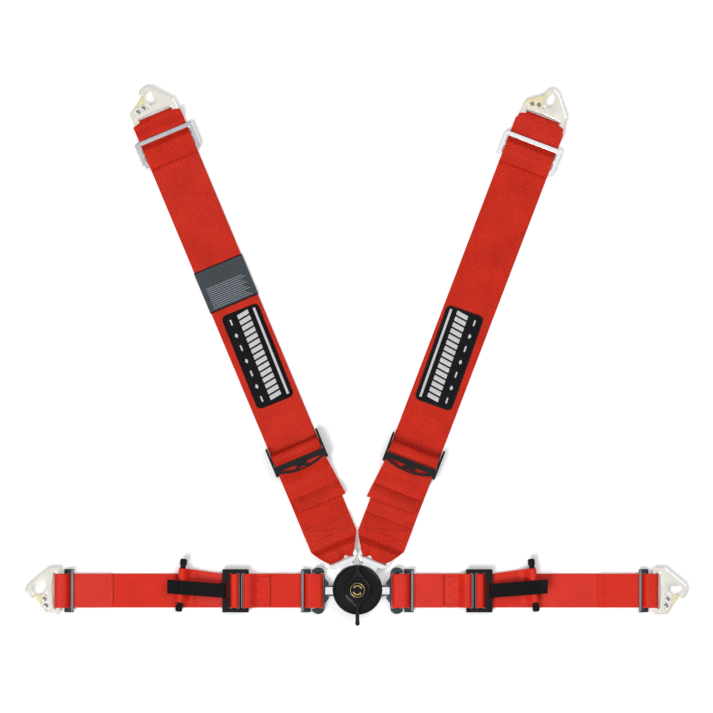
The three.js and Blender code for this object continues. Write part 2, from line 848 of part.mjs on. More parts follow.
// A hub with one arm towards each tongue, and a tooth under each arm's end.
function latchSpring() {
  const bottom = buckle.guideTop + gap;
  const top = bottom + 0.8;
  const hub = disc(9, bottom, top, 20);
  const arms = tongueAngles.flatMap((angle) => [
    channel(angle, 4, 7.5, 25, bottom, top),
    channel(angle, latchWindow.half - gap, latchWindow.from + gap, 25, neckBottom + gap, top),
  ]);
  return cut(joined([hub, ...arms]), [disc(buckle.shaft + 2 * gap, 0, 20, 14)]);
}

// The cam's four ramps press the spring's arms when the handle turns.
function releaseCam() {
  const bottom = buckle.guideTop + 0.8 + 2 * gap + 0.2;
  const steps = 40;
  const rim = Array.from({ length: steps }, (_, i) => {
    const turn = (2 * Math.PI * i) / steps;
    const radius = 15.5 + 2.5 * Math.cos(4 * turn);
    return [radius * Math.cos(turn), radius * Math.sin(turn)];
  });
  const body = plate(outline(rim), bottom, bottom + 2.2);
  return cut(body, [disc(buckle.shaft + gap, 0, 40, 14)]);
}

class SpringTurns extends THREE.Curve {
  getPoint(t, target = new THREE.Vector3()) {
    const turn = 2 * Math.PI * 1.6 * t;
    return target.set(10 * Math.cos(turn), 10 * Math.sin(turn), 14.2 + 1.4 * t);
  }
}

function returnSpring() {
  const wire = new THREE.Shape().absarc(0, 0, 0.45, 0, 2 * Math.PI);
  return new THREE.ExtrudeGeometry(wire, {
    steps: 18,
    extrudePath: new SpringTurns(),
    bevelEnabled: false,
    curveSegments: 3,
  });
}

function buckleCover() {
  const { radius, wall, faceRadius, faceBottom, faceTop, rimTop, shaft } = buckle;
  const inner = radius - wall;
  const hole = shaft + gap;
  const base = buckle.backTop + gap;
  const shell = turned(
    [
      [hole, faceBottom],
      [inner - 2, faceBottom],
      [inner, faceBottom - 2],
      [inner, base],
      [radius, base],
      [radius, rimTop - 1.5],
      [radius - 1.2, rimTop],
      [faceRadius + 0.8, rimTop],
      [faceRadius, faceTop],
      [hole, faceTop],
    ],
    40,
  );
  const slots = tongueAngles.map((angle) =>
    channel(angle, channelHalf(angle), 20, 40, 0, neckTop + gap),
  );
  // The notch in the rim under the long arm of the handle.
  const notch = block(-4.8, 4.8, -40, -faceRadius - 0.4, faceTop, 30);
  return cut(shell, [...slots, notch]);
}

function spindle() {
  const { backTop, foot, shaft, guideFloor } = buckle;
  return turned(
    [
      [0, backTop + gap],
      [foot, backTop + gap],
      [foot, guideFloor + gap],
      [shaft, guideFloor + gap],
      [shaft, handleBottom - gap],
      [3.1, handleBottom - gap],
      [3.1, capSeat - gap],
      [0, capSeat - gap],
    ],
    14,
  );
}

// The handle: a ring with a short arm up to the rim and a long arm down past it.
function buckleHandle() {
  const arms = outline([
    [2.9, 36.8, 2.8],
    [2.9, 26, 6],
    [9, 17.5],
    [9, -17.5],
    [3.1, -26, 6],
    [3.1, -46, 20],
    [3.9, -53.4, 3.4],
    [-3.9, -53.4, 3.4],
    [-3.1, -46, 20],
    [-3.1, -26, 6],
    [-9, -17.5],
    [-9, 17.5],
    [-2.9, 26, 6],
    [-2.9, 36.8, 2.8],
  ]);
  const hub = turned(
    [
      [0, handleBottom],
      [19.4, handleBottom],
      [20, handleBottom + 1],
      [20, handleTop - 1.6],
      [18.6, handleTop],
      [0, handleTop],
    ],
    32,
  );
  const body = joined([plate(arms, handleBottom, armTop), hub]);
  return cut(body, [disc(3.1 + gap, 0, 40, 14), disc(capRadius + gap, capSeat, 40, 28)]);
}

function centreCap() {
  const bottom = capSeat + gap;
  const profile = [[0, bottom], [capRadius, bottom], [capRadius, 26.6], [capRadius - 1.6, 27.6]];
  return turned([...profile, [6, 28.1], [0, 28.2]], 28);
}

part(harness, "back_plate", backPlate(), finishes.zinc());
part(harness, "tongue_guide", tongueGuide(), finishes.springSteel());
part(harness, "latch_spring", latchSpring(), finishes.springSteel());
part(harness, "release_cam", releaseCam(), finishes.blackSteel());
part(harness, "return_spring", returnSpring(), finishes.springSteel());
part(harness, "buckle_cover", buckleCover(), finishes.blackPlastic());
part(harness, "spindle", spindle(), finishes.blackSteel());
part(harness, "handle", buckleHandle(), finishes.blackSteel());
part(harness, "centre_cap", centreCap(), finishes.blackPlastic());

export default harness;
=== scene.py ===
# A four-point racing harness lying flat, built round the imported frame.
# Local belt coordinates are millimetres: station outwards from the buckle, across, and height.
import json

import bmesh
import bpy
import numpy as np
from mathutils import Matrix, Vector

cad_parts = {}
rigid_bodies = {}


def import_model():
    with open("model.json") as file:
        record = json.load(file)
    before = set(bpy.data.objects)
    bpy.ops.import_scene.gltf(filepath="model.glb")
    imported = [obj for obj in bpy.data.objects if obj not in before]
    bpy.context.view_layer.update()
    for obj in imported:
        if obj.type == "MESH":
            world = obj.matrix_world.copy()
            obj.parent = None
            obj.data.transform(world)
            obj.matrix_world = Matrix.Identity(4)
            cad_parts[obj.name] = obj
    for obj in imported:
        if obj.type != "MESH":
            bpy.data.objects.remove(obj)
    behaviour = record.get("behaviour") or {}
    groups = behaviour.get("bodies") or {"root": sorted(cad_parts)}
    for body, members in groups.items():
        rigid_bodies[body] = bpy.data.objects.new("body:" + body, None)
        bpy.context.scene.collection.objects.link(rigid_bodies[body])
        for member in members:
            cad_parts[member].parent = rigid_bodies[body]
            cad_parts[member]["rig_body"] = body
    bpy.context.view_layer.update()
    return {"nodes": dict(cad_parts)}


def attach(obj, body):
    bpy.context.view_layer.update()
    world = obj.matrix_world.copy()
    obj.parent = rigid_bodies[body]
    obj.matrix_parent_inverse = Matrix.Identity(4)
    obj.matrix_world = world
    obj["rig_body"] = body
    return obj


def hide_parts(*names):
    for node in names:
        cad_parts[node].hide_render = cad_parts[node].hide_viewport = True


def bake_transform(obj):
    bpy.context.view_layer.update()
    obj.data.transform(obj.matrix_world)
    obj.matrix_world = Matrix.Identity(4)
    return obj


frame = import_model()
sides = ("left", "right")
scene = bpy.context.scene
print("frame loaded")

# Sets inputs of a node: a socket is joined on, and anything else becomes the default value.
def fill(tree, node, values):
    for key, value in values.items():
        if isinstance(value, bpy.types.NodeSocket):
            tree.links.new(value, node.inputs[key])
        else:
            node.inputs[key].default_value = value
    return node


def addNode(tree, kind, values, **settings):
    node = tree.nodes.new("ShaderNode" + kind)
    for key, value in settings.items():
        setattr(node, key, value)
    return fill(tree, node, values)


def newMaterial(name):
    paint = bpy.data.materials.new(name)
    paint.use_nodes = True
    return paint, paint.node_tree


camera = {"across": 1.0695, "centre": (-0.0014, 0.349), "height": 6.0, "sensor": 36.0}
# The sky's stops are positions on the direction's own Z: the horizon is dark and the top is white.
studio = {"sky": ((0.42, (0.02, 0.02, 0.022)), (0.97, (1, 1, 1))), "strength": 0.98, "floorSize": 6.0}


def addObject(name, data):
    made = bpy.data.objects.new(name, data)
    scene.collection.objects.link(made)
    return made


def makeCamera():
    data = bpy.data.cameras.new("camera")
    data.sensor_width = camera["sensor"]
    data.lens = camera["sensor"] * camera["height"] / camera["across"]
    scene.camera = addObject("camera", data)
    scene.camera.location = (*camera["centre"], camera["height"])


def makeSun(name, towards, spread, strength):
    data = bpy.data.lights.new(name, "SUN")
    data.angle = np.radians(spread)
    data.energy = strength
    addObject(name, data).rotation_euler = Vector(towards).to_track_quat("Z", "Y").to_euler()


def makeWorld():
    world = bpy.data.worlds.new("studio")
    world.use_nodes = True
    tree = world.node_tree
    coords = addNode(tree, "TexCoord", {})
    split = addNode(tree, "SeparateXYZ", {0: coords.outputs["Generated"]})
    ramp = addNode(tree, "ValToRGB", {"Fac": split.outputs["Z"]})
    for stop, (position, colour) in zip(ramp.color_ramp.elements, studio["sky"]):
        stop.position, stop.color = position, (*colour, 1)
    fill(tree, tree.nodes["Background"], {"Color": ramp.outputs["Color"], "Strength": studio["strength"]})
    scene.world = world


def makeFloor():
    mesh = bpy.data.meshes.new("floor")
    size, height = studio["floorSize"], -0.0002
    corners = [(-size, -size, height), (size, -size, height), (size, size, height), (-size, size, height)]
    mesh.from_pydata(corners, [], [(0, 1, 2, 3)])
    paint, tree = newMaterial("floor")
    fill(tree, tree.nodes["Principled BSDF"], {
        "Base Color": (0.93, 0.93, 0.93, 1), "Roughness": 0.9, "Specular IOR Level": 0.1,
        "Emission Color": (1, 1, 1, 1), "Emission Strength": 0.14,
    })
    mesh.materials.append(paint)
    addObject("floor", mesh)


scene.view_settings.view_transform = "Standard"
makeCamera()
makeWorld()
makeFloor()
makeSun("keyLight", (-0.62, -0.72, 1), 28, 1.9)
makeSun("rimLight", (0.8, 0.6, 1), 35, 0.6)
print("camera, floor and lights made")

# The colour runs from dark to light with the share, and the height drives the bump.
def finishMaterial(tree, dark, light, share, height, depth, distance, shading):
    ramp = addNode(tree, "ValToRGB", {"Fac": share})
    ramp.color_ramp.elements[0].color = (*dark, 1)
    ramp.color_ramp.elements[1].color = (*light, 1)
    bump = addNode(tree, "Bump", {"Strength": depth, "Distance": distance, "Height": height})
    shading = {**shading, "Base Color": ramp.outputs["Color"], "Normal": bump.outputs["Normal"]}
    fill(tree, tree.nodes["Principled BSDF"], shading)


weave = {
    "slant": 0.72, "wear": 26, "threadShare": 1.1, "wearShare": 0.7, "low": 0.6, "high": 2.1, "bump": 0.0004,
}


# Webbing: twill ribs run slantwise over the piece's own UV map, which is in metres.
def webbingMaterial(name, dark, light, ribPitch, ribDepth, roughness, sheen, specular=0.12, grain=300):
    paint, tree = newMaterial(name)
    uv = addNode(tree, "UVMap", {}, uv_map="weave").outputs["UV"]
    slanted = addNode(tree, "Mapping", {"Rotation": (0, 0, weave["slant"]), "Vector": uv}).outputs["Vector"]
    ribScale = 1 / (ribPitch * 3.2)
    ribs = addNode(tree, "TexWave", {"Scale": ribScale, "Distortion": 0.6, "Detail": 1.0, "Vector": slanted})
    threads = addNode(tree, "TexNoise", {"Scale": grain, "Detail": 3, "Vector": slanted})
    worn = addNode(tree, "TexNoise", {"Scale": weave["wear"], "Detail": 4, "Vector": uv})

    # share * noise + base
    def added(noise, share, base):
        values = {0: noise.outputs["Fac"], 1: share, 2: base}
        return addNode(tree, "Math", values, operation="MULTIPLY_ADD").outputs[0]

    woven = added(threads, weave["threadShare"], ribs.outputs["Fac"])
    shade = added(worn, weave["wearShare"], woven)
    spread = addNode(tree, "MapRange", {"From Min": weave["low"], "From Max": weave["high"], "Value": shade})
    shading = {
        "Roughness": roughness, "Metallic": 0.0, "Specular IOR Level": specular,
        "Sheen Weight": sheen, "Sheen Roughness": 0.5,
    }
    finishMaterial(tree, dark, light, spread.outputs["Result"], woven, ribDepth, weave["bump"], shading)
    return paint


finish = {"cloud": 90, "grain": 1500, "smoother": 0.08, "least": 0.03, "rougher": 0.1, "bump": 0.0003}


# Hard pieces: a base colour and a roughness that drift a little, and a fine grain.
def hardMaterial(name, dark, light, roughness, metallic, grain=0.06, specular=0.5):
    paint, tree = newMaterial(name)
    coords = addNode(tree, "TexCoord", {}).outputs["Object"]
    cloud = addNode(tree, "TexNoise", {"Scale": finish["cloud"], "Detail": 5, "Vector": coords}).outputs["Fac"]
    fine = addNode(tree, "TexNoise", {"Scale": finish["grain"], "Detail": 2, "Vector": coords}).outputs["Fac"]
    smoothest = max(roughness - finish["smoother"], finish["least"])
    roughest = roughness + finish["rougher"]
    rough = addNode(tree, "MapRange", {"To Min": smoothest, "To Max": roughest, "Value": cloud})
    shading = {"Roughness": rough.outputs["Result"], "Metallic": metallic, "Specular IOR Level": specular}
    finishMaterial(tree, dark, light, cloud, fine, grain, finish["bump"], shading)
    return paint


webbings = {
    "shoulder": ("shoulderWebbing", (0.24, 0.005, 0.002), (0.8, 0.034, 0.012), 0.0026, 0.7, 0.55, 0.0, 0.12),
    "lap": ("lapWebbing", (0.44, 0.008, 0.003), (0.84, 0.032, 0.012), 0.0016, 0.35, 0.4, 0.0, 0.2, 520),
    "black": ("blackWebbing", (0.002, 0.002, 0.0025), (0.013, 0.013, 0.015), 0.0016, 0.5, 0.6, 0.0, 0.06),
    "thread": ("redThread", (0.12, 0.003, 0.002), (0.26, 0.008, 0.005), 0.0006, 0.4, 0.6, 0.1),
    "print": ("whitePrint", (0.42, 0.42, 0.43), (0.7, 0.7, 0.71), 0.0012, 0.3, 0.6, 0.0),
    "label": ("satinLabel", (0.022, 0.028, 0.033), (0.075, 0.09, 0.1), 0.0010, 0.3, 0.3, 0.1),
    "labelPrint": ("labelPrint", (0.2, 0.23, 0.26), (0.36, 0.4, 0.44), 0.0010, 0.2, 0.5, 0.0),
    "blackThread": (
        "blackSatinThread", (0.002, 0.002, 0.002), (0.009, 0.009, 0.01), 0.0009, 0.5, 0.35, 0.0, 0.1,
    ),
}
finishes = {
    "chrome": ("brightSteel", (0.8, 0.8, 0.82), (0.93, 0.93, 0.94), 0.13, 1.0, 0.03),
    "zinc": ("platedSteel", (0.72, 0.69, 0.6), (0.9, 0.88, 0.83), 0.2, 1.0, 0.1),
    "zincYellow": ("yellowPlatedSteel", (0.74, 0.64, 0.38), (0.9, 0.83, 0.58), 0.22, 1.0, 0.1),
    # A darker copy of the chrome, as painted shade on the left shoulder slide.
    "chromeShaded": ("shadedChrome", (0.42, 0.42, 0.45), (0.66, 0.66, 0.69), 0.2, 1.0, 0.05),
    "greySteel": ("greySteel", (0.2, 0.2, 0.22), (0.34, 0.34, 0.37), 0.25, 1.0, 0.05),
    "gunmetal": ("gunmetal", (0.022, 0.032, 0.038), (0.05, 0.066, 0.075), 0.32, 0.7, 0.1),
    "blackSteel": ("blackSteel", (0.006, 0.006, 0.007), (0.018, 0.018, 0.02), 0.3, 0.5, 0.08, 0.2),
    "gloss": ("blackGloss", (0.004, 0.004, 0.005), (0.01, 0.01, 0.012), 0.12, 0.0, 0.03, 0.22),
    "satin": ("blackSatin", (0.006, 0.006, 0.006), (0.011, 0.011, 0.011), 0.42, 0.0, 0.3, 0.1),
    "spring": ("springSteel", (0.35, 0.36, 0.38), (0.55, 0.56, 0.58), 0.3, 1.0, 0.08),
    "gold": ("goldInlay", (0.5, 0.36, 0.12), (0.78, 0.6, 0.24), 0.3, 1.0, 0.05),
}
materials = {key: webbingMaterial(*numbers) for key, numbers in webbings.items()}
materials |= {key: hardMaterial(*numbers) for key, numbers in finishes.items()}
print("materials made")

mm = 0.001


# Six times the volume inside the faces, which is positive when they point outwards.
def signedVolume(points, faceSets):
    points = points - points.mean(axis=0)
    total = 0.0
    for faces in faceSets:
        for k in range(1, faces.shape[1] - 1):
            a, b, c = points[faces[:, 0]], points[faces[:, k]], points[faces[:, k + 1]]
            total += np.sum(a * np.cross(b, c))
    return total


# Makes an object from local points and rows of faces, with one array for each face size.
def makeObject(name, local, faceSets, paint, place, uv=None, sharp=38):
    points = place(local)
    if signedVolume(points, faceSets) < 0:
        faceSets = [f[:, ::-1] for f in faceSets]
    sizes = np.concatenate([np.full(len(f), f.shape[1]) for f in faceSets])
    corners = np.concatenate([f.reshape(-1) for f in faceSets]).astype(np.int32)
    mesh = bpy.data.meshes.new(name)
    mesh.vertices.add(len(points))
    mesh.vertices.foreach_set("co", np.asarray(points, np.float32).reshape(-1))
    mesh.loops.add(len(corners))
    mesh.loops.foreach_set("vertex_index", corners)
    mesh.polygons.add(len(sizes))
    starts = np.concatenate([[0], np.cumsum(sizes)[:-1]]).astype(np.int32)
    mesh.polygons.foreach_set("loop_start", starts)
    mesh.update(calc_edges=True)
    if uv is not None:
        layer = mesh.uv_layers.new(name="weave")
        layer.data.foreach_set("uv", np.asarray(uv, np.float32)[corners].reshape(-1))
    mesh.polygons.foreach_set("use_smooth", np.ones(len(sizes), bool))
    mesh.set_sharp_from_angle(angle=np.radians(sharp))
    mesh.materials.append(materials[paint])
    mesh.validate()
    made = addObject(name, mesh)
    return made


def rideAndReplace(made, body, *nodes):
    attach(made, body)
    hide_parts(*nodes)


# Quads between neighbouring rows and columns of a grid of vertex numbers.
def gridFaces(rows, columns, wrapRows=False, wrapColumns=False):
    index = np.arange(rows * columns).reshape(rows, columns)
    if wrapRows:
        index = np.vstack([index, index[:1]])
    if wrapColumns:
        index = np.hstack([index, index[:, :1]])
    return np.stack(
        [index[:-1, :-1], index[:-1, 1:], index[1:, 1:], index[1:, :-1]], axis=-1
    ).reshape(-1, 4)


def unit(rows):
    return rows / np.linalg.norm(rows, axis=1)[:, None]


def fullTurn(steps):
    return np.linspace(0, 2 * np.pi, steps, endpoint=False)


# Points along corners (x, y, radius), each corner turned into an arc of small steps.
def roundCorners(corners, closed=True, stepDegrees=9):
    points = []
    count = len(corners)
    for i, corner in enumerate(corners):
        here = np.array(corner[:2], float)
        radius = corner[2] if len(corner) > 2 else 0
        if radius == 0 or (not closed and i in (0, count - 1)):
            points.append(here)
            continue
        back = np.array(corners[(i - 1) % count][:2], float) - here
        on = np.array(corners[(i + 1) % count][:2], float) - here
        back, on = back / np.linalg.norm(back), on / np.linalg.norm(on)
        turn = np.pi - np.arccos(np.clip(back @ on, -1, 1))
        middle = (back + on) / np.linalg.norm(back + on)
        centre = here + middle * radius / np.cos(turn / 2)
        spoke = here + back * radius * np.tan(turn / 2) - centre
        side = np.sign(on[0] * back[1] - on[1] * back[0])
        steps = max(1, int(np.ceil(np.degrees(turn) / stepDegrees)))
        for a in side * turn * np.arange(steps + 1) / steps:
            c, s = np.cos(a), np.sin(a)
            points.append(centre + (c * spoke[0] - s * spoke[1], s * spoke[0] + c * spoke[1]))
    points = np.array(points)
    apart = np.linalg.norm(np.diff(points, axis=0), axis=1)
    return points[np.concatenate([[True], apart > 1e-3])]


# Adds points on long straight runs, so a rule can bend them.
def subdivided(line, longest):
    pieces = [line[:1]]
    for a, b in zip(line[:-1], line[1:]):
        steps = max(1, int(np.ceil(np.linalg.norm(b - a) / longest)))
        pieces.append(a + (b - a) * (np.arange(1, steps + 1) / steps)[:, None])
    return np.vstack(pieces)


def plainPlace(local):
    return local * mm


# Moves a placing's origin along and across, after a turn in degrees.
def shifted(place, ds, dv=0.0, turn=0.0):
    c, s = np.cos(np.radians(turn)), np.sin(np.radians(turn))

    def moved(local):
        x, y, z = local.T
        return place(np.stack([c * x - s * y + ds, s * x + c * y + dv, z], axis=1))

    return moved


# A turned-over piece: half a turn about the belt's own line at bar height.
def turnedOver(place):
    return lambda local: place(local * [1, -1, -1] + [0, 0, 2 * barHeight])


def mirroredAcross(place):
    return lambda local: place(local * [-1, 1, 1])


# World points of local belt points (station, across, height). The right belts run along +X.
def shoulderPlace(side):
    belt = shoulderBelts[side]
    place = plainPlace if side == "right" else mirroredAcross(plainPlace)
    return shifted(shifted(place, 0, 0, belt["angle"]), 0, belt["shift"])


def lapPlace(side):
    return shifted(plainPlace if side == "right" else mirroredAcross(plainPlace), 0, lapDrop)


def clampShare(value):
    return np.clip(value, 0, 1)


def smoothShare(value):
    share = clampShare(value)
    return share * share * (3 - 2 * share)


# One between the two stations, and fading to nothing over a distance inside each.
def between(s, start, end, fade):
    return smoothShare((s - start) / fade) * smoothShare((end - s) / fade)


# Webbing: a flat strip with rounded selvedges carried along a side-view route.
# The rule takes (station, across, height, length run, across share) and returns the moved three.
def makeStrap(name, route, width, paint, place, rule=None, thickness=1.6, longest=3.0, columns=25):
    line = subdivided(roundCorners(route, False), longest)
    along = unit(np.diff(line, axis=0))
    before = np.vstack([along[:1], along])
    after = np.vstack([along, along[-1:]])
    mean = unit(before + after)
    lift = np.stack([-mean[:, 1], mean[:, 0]], axis=1) / np.sum(mean * before, axis=1)[:, None]
    run = np.concatenate([[0], np.cumsum(np.linalg.norm(np.diff(line, axis=0), axis=1))])
    # Columns are even in the middle, with four more on each rounded edge.
    half, thin = width / 2, thickness / 2
    flat = half - thin
    edge = flat + thin * np.sin(np.radians([20, 45, 70, 86]))
    across = np.concatenate([-edge[::-1], np.linspace(-flat, flat, columns), edge])
    into = np.maximum(np.abs(across) - flat, 0) / thin
    high = thin * np.sqrt(1 - np.minimum(into, 1) ** 2)
    loop = np.concatenate([across, across[::-1]])
    offset = np.concatenate([high, -high[::-1]])
    rows, wide = len(line), len(loop)
    # The ends taper a little, like a cut and heat-sealed edge.
    endTaper = np.ones(rows)
    endTaper[[0, -1]] = 0.72
    offsets = endTaper[:, None] * offset[None, :]
    s = line[:, :1] + lift[:, :1] * offsets
    z = line[:, 1:] + lift[:, 1:] * offsets
    v = np.broadcast_to(loop[None, :], (rows, wide)).copy()
    runs = np.broadcast_to(run[:, None], (rows, wide))
    uv = np.stack([v, runs], axis=-1).reshape(-1, 2) * mm
    if rule is not None:
        s, v, z = rule(s, v, z, runs, v / half)
    local = np.stack([s, v, z], axis=-1).reshape(-1, 3)
    faces = gridFaces(rows, wide, wrapColumns=True)[:, ::-1]
    index = np.arange(rows * wide).reshape(rows, wide)
    count = len(across)
    caps = []
    for row, turned in ((0, False), (rows - 1, True)):
        top, bottom = index[row, :count], index[row, count:][::-1]
        cap = np.stack([top[:-1], top[1:], bottom[1:], bottom[:-1]], axis=-1)
        caps.append(cap[:, ::-1] if turned else cap)
    return makeObject(name, local, [np.vstack([faces, *caps])], paint, place, uv, sharp=60)

shoulderBelts = {
    "left": {"angle": 67.3, "shift": -4.9, "tail": 139, "anchor": 204, "slide": 703.5, "hook": 769},
    "right": {"angle": 69.1, "shift": -7.2, "tail": 135, "anchor": 197.2, "slide": 682.5, "hook": 755.5},
}
lapBelts = {
    "left": {"hook": 448.7, "tail": 366.7},
    "right": {"hook": 445.4, "tail": 360.6},
}
lapDrop = -2
barHeight = 5.7
webWidth = {"shoulder": 76, "lap": 51}


# The sewn loop at the tongue is gathered into puckers that fade up the belt.
def makeLowerStrap(side):
    belt = shoulderBelts[side]
    anchor, phase = belt["anchor"], 0.6 if side == "left" else 2.1
    route = [
        (112, 3.1), (84, 3.1), (77, 3.1, 4), (68, 10.2, 4), (50.3, 10.2, 4.2), (50.3, 1.2, 4.2),
        (61, 1.2), (84, 1.2), (anchor + 4.5, 1.2, 4.2), (anchor + 4.5, 10.2, 4.2),
        (anchor - 4.5, 10.2, 4), (anchor - 16, 3.1, 4), (anchor - 28, 3.1),
    ]

    def rule(s, v, z, run, share):
        # The outer edge of the V spreads sooner than the inner edge, which has a neighbour.
        outside = clampShare((s - 52) / 25) ** 0.8
        inside = clampShare((s - 52) / 31) ** 0.85
        spread = np.where(share < 0, outside, inside)
        pucker = (1 - smoothShare((s - 58) / 34)) * smoothShare((s - 50) / 8)
        folds = 0.5 * np.cos(share * 6.2 + phase) + 0.15 * np.cos(share * 15 + 2 * phase)
        deep = np.exp(-(((share - 0.4) / 0.26) ** 2)) * smoothShare((68 - s) / 12)
        z = z + (pucker * (1.5 * folds + 1.6) - 3.4 * deep) * np.where(z > 2.6, 1, 0)
        s = s + 2.2 * deep * np.where(s < 56, 1, 0)
        ripple = between(s, 84, anchor - 20, 20)
        z = z + ripple * 0.35 * (1 + np.cos(s * 0.11 + share * 1.6 + phase)) * np.where(run > 130, 1, 0)
        return s, v * (0.5 + 0.5 * spread), z

    made = makeStrap(
        f"lowerStrap_{side}", route, webWidth["shoulder"], "shoulder", shoulderPlace(side), rule,
        longest=2.5, columns=41,
    )
    rideAndReplace(made, f"lower_belt_{side}", f"lower_strap_{side}")


def makeUpperStrap(side):
    belt = shoulderBelts[side]
    tail, anchor, slide, hook = belt["tail"], belt["anchor"], belt["slide"], belt["hook"]
    lock = anchor + 22
    far = lock + 8.9
    phase, full = (1.1, 1.0) if side == "left" else (3.0, 0.8)
    route = [
        (slide + 4.5, 3.1), (slide - 4.7, 3.1, 2.25), (slide - 4.7, 7.9, 2.25), (slide + 8.5, 7.9, 3),
        (slide + 13, 9.8, 3), (slide + 25, 9.8, 2.2), (slide + 32.7, 3.1, 2.2), (slide + 48, 3.1, 4),
        (hook - 7, 10.2, 4), (hook + 4.5, 10.2, 4.2), (hook + 4.5, 1.2, 4.2), (hook - 4, 1.2),
        (hook - 9, 1.2), (slide + 31.7, 1.2, 2.2), (slide + 24, 7.9, 2.2), (slide + 15.7, 7.9, 2.2),
        (slide + 8, 1.2, 2.2), (far, 1.2, 2.5), (far, 14.8, 7.1), (lock - 3, 14.8, 4), (lock - 7, 12.2, 3),
        (anchor - 5.2, 12.2, 4), (anchor - 17, 5.05, 4), (anchor - 31, 5.05, 3), (anchor - 37, 3.3, 3),
        (tail + 1.1, 3.3, 1.1), (tail + 1.1, 5.5, 1.1), (tail + 21, 5.5),
    ]

    def rule(s, v, z, run, share):
        # Only the part inside the hook's slot is narrowed; the turn over the bar spreads out again.
        flared = full * smoothShare((z - 7.0) / 2.2) * (1 - smoothShare((s - hook + 1.4) / 3.4))
        spread = np.maximum(smoothShare((hook - s - 3) / 6), flared)
        v = v * (52 / 76 + (1 - 52 / 76) * spread)
        v = v + 0.1 * np.maximum(0, anchor - s)
        # The folded end is puffed up over its sewn core.
        puffed = clampShare((s - tail + 1) / 21)
        z = z + np.where((z > 4.4) & (s < tail + 21.4), 1.5 * np.sin(np.pi * puffed) ** 0.7, 0)
        # The tail bows up in the middle before it goes under the adjuster.
        swell = smoothShare((s - tail - 20) / 14) * smoothShare((anchor - 8 - s) / 16)
        z = z + np.where(s < anchor, swell * 1.6 * np.cos(share * 1.5), 0)
        # The long run lies in slow, shallow waves.
        calm = between(s, far + 10, slide - 20, 40)
        wave = np.maximum(0, np.sin(s * 0.031 + phase) * np.cos(share * 0.9 + s * 0.006))
        return s, v, z + 0.25 * calm * wave * np.where(z > 0, 1, 0)

    made = makeStrap(
        f"upperStrap_{side}", route, webWidth["shoulder"], "shoulder", shoulderPlace(side), rule, columns=31
    )
    rideAndReplace(made, f"upper_belt_{side}", f"upper_strap_{side}")


for side in sides:
    makeLowerStrap(side)
    makeUpperStrap(side)
print("shoulder webbing made")

def makeInnerStrap(side):
    route = [
        (128.5, 3.1), (78.4, 3.1, 1), (77.0, 12.4, 9.5), (52.3, 12.4, 6.5),
        (52.3, 1.2, 4.2), (64.1, 1.2, 1.5), (69.4, 4.0, 2), (74, 4.0, 2), (78.9, 1.2, 2),
        (170.2, 1.2, 4.2), (170.2, 10.2, 4.2), (161.7, 10.2, 4), (150.7, 3.1, 4), (131, 3.1),
    ]

    # The doubled run is pulled a little thinner along its sewn lines.
    def rule(s, v, z, run, share):
        sewn = between(s, 84, 150, 12)
        quilted = sewn * 0.18 * np.cos(share * 2.6 + s * 0.09)
        return s, v, z + np.where(z > 2.2, quilted, 0)

    made = makeStrap(f"innerStrap_{side}", route, webWidth["lap"], "lap", lapPlace(side), rule, columns=27)
    rideAndReplace(made, f"inner_belt_{side}", f"inner_strap_{side}")


def makeOuterStrap(side):
    belt = lapBelts[side]
    hook, tail = belt["hook"], belt["tail"]
    low = hook - 9.2
    phase = 0.4 if side == "left" else 2.2
    route = [
        (tail, 3.1), (hook - 16.4, 3.1, 1), (hook - 15.0, 12.2, 8.5),
        (hook + 4.8, 12.2, 6.5), (hook + 4.8, 1.2, 4.2), (hook - 4.8, 1.2, 1.5), (low + 0.4, 4.0, 2),
        (low - 4.6, 4.0, 2), (low - 9.5, 1.2, 2), (178.4, 1.2, 4.5), (178.4, 10.8, 4.5),
        (189.5, 10.8, 4.8), (189.7, 3.1, 1.6), (203.4, 3.1), (269.3, 3.1, 5.0), (269.3, 13.7, 5.0),
        (261.3, 13.7, 3), (251.3, 5.0, 3), (242.3, 5.0),
    ]

    def rule(s, v, z, run, share):
        onTail = np.where((z > 2.2) & (s < 271.3), 1, 0)
        drift = onTail * np.maximum(0, (s - 202.4) / 61.6)
        turned = np.minimum(drift, 1)
        s = s - v * np.tan(np.radians(5.8)) * turned
        v = v + 8.5 * np.minimum(drift, 1.2)
        near = clampShare(1 - run / 10)
        s = s + 6 * near * (1 - np.sqrt(1 - clampShare((np.abs(share) - 0.76) / 0.24) ** 2))
        z = z + 0.7 * near
        calm = between(s, 285, tail - 10, 20)
        wave = np.maximum(0, np.sin(s * 0.07 + phase) * np.cos(share * 0.8))
        return s, v, z + 0.2 * calm * wave * np.where(z > 0.4, 1, 0)

    made = makeStrap(f"outerStrap_{side}", route, webWidth["lap"], "lap", lapPlace(side), rule, columns=27)
    rideAndReplace(made, f"outer_belt_{side}", f"outer_strap_{side}")


def makeReleaseTab(side):
    route = [
        (218, 11.45), (209, 10.25, 4), (204.7, 5.55, 2.5), (197.85, 5.55, 2.85), (197.85, 11.25, 2.85),
        (254, 15.95, 8), (284, 15.95, 1), (284, 17.95, 1), (268, 17.95),
    ]

    def rule(s, v, z, run, share):
        return s, v + 0.085 * np.maximum(0, s - 200.7), z

    made = makeStrap(
        f"releaseTab_{side}", route, 21, "black", lapPlace(side), rule, thickness=1.3, longest=2.0, columns=13
    )
    rideAndReplace(made, f"release_tab_{side}", f"release_tab_{side}")


for side in sides:
    makeInnerStrap(side)
    makeOuterStrap(side)
    makeReleaseTab(side)
print("lap webbing made")

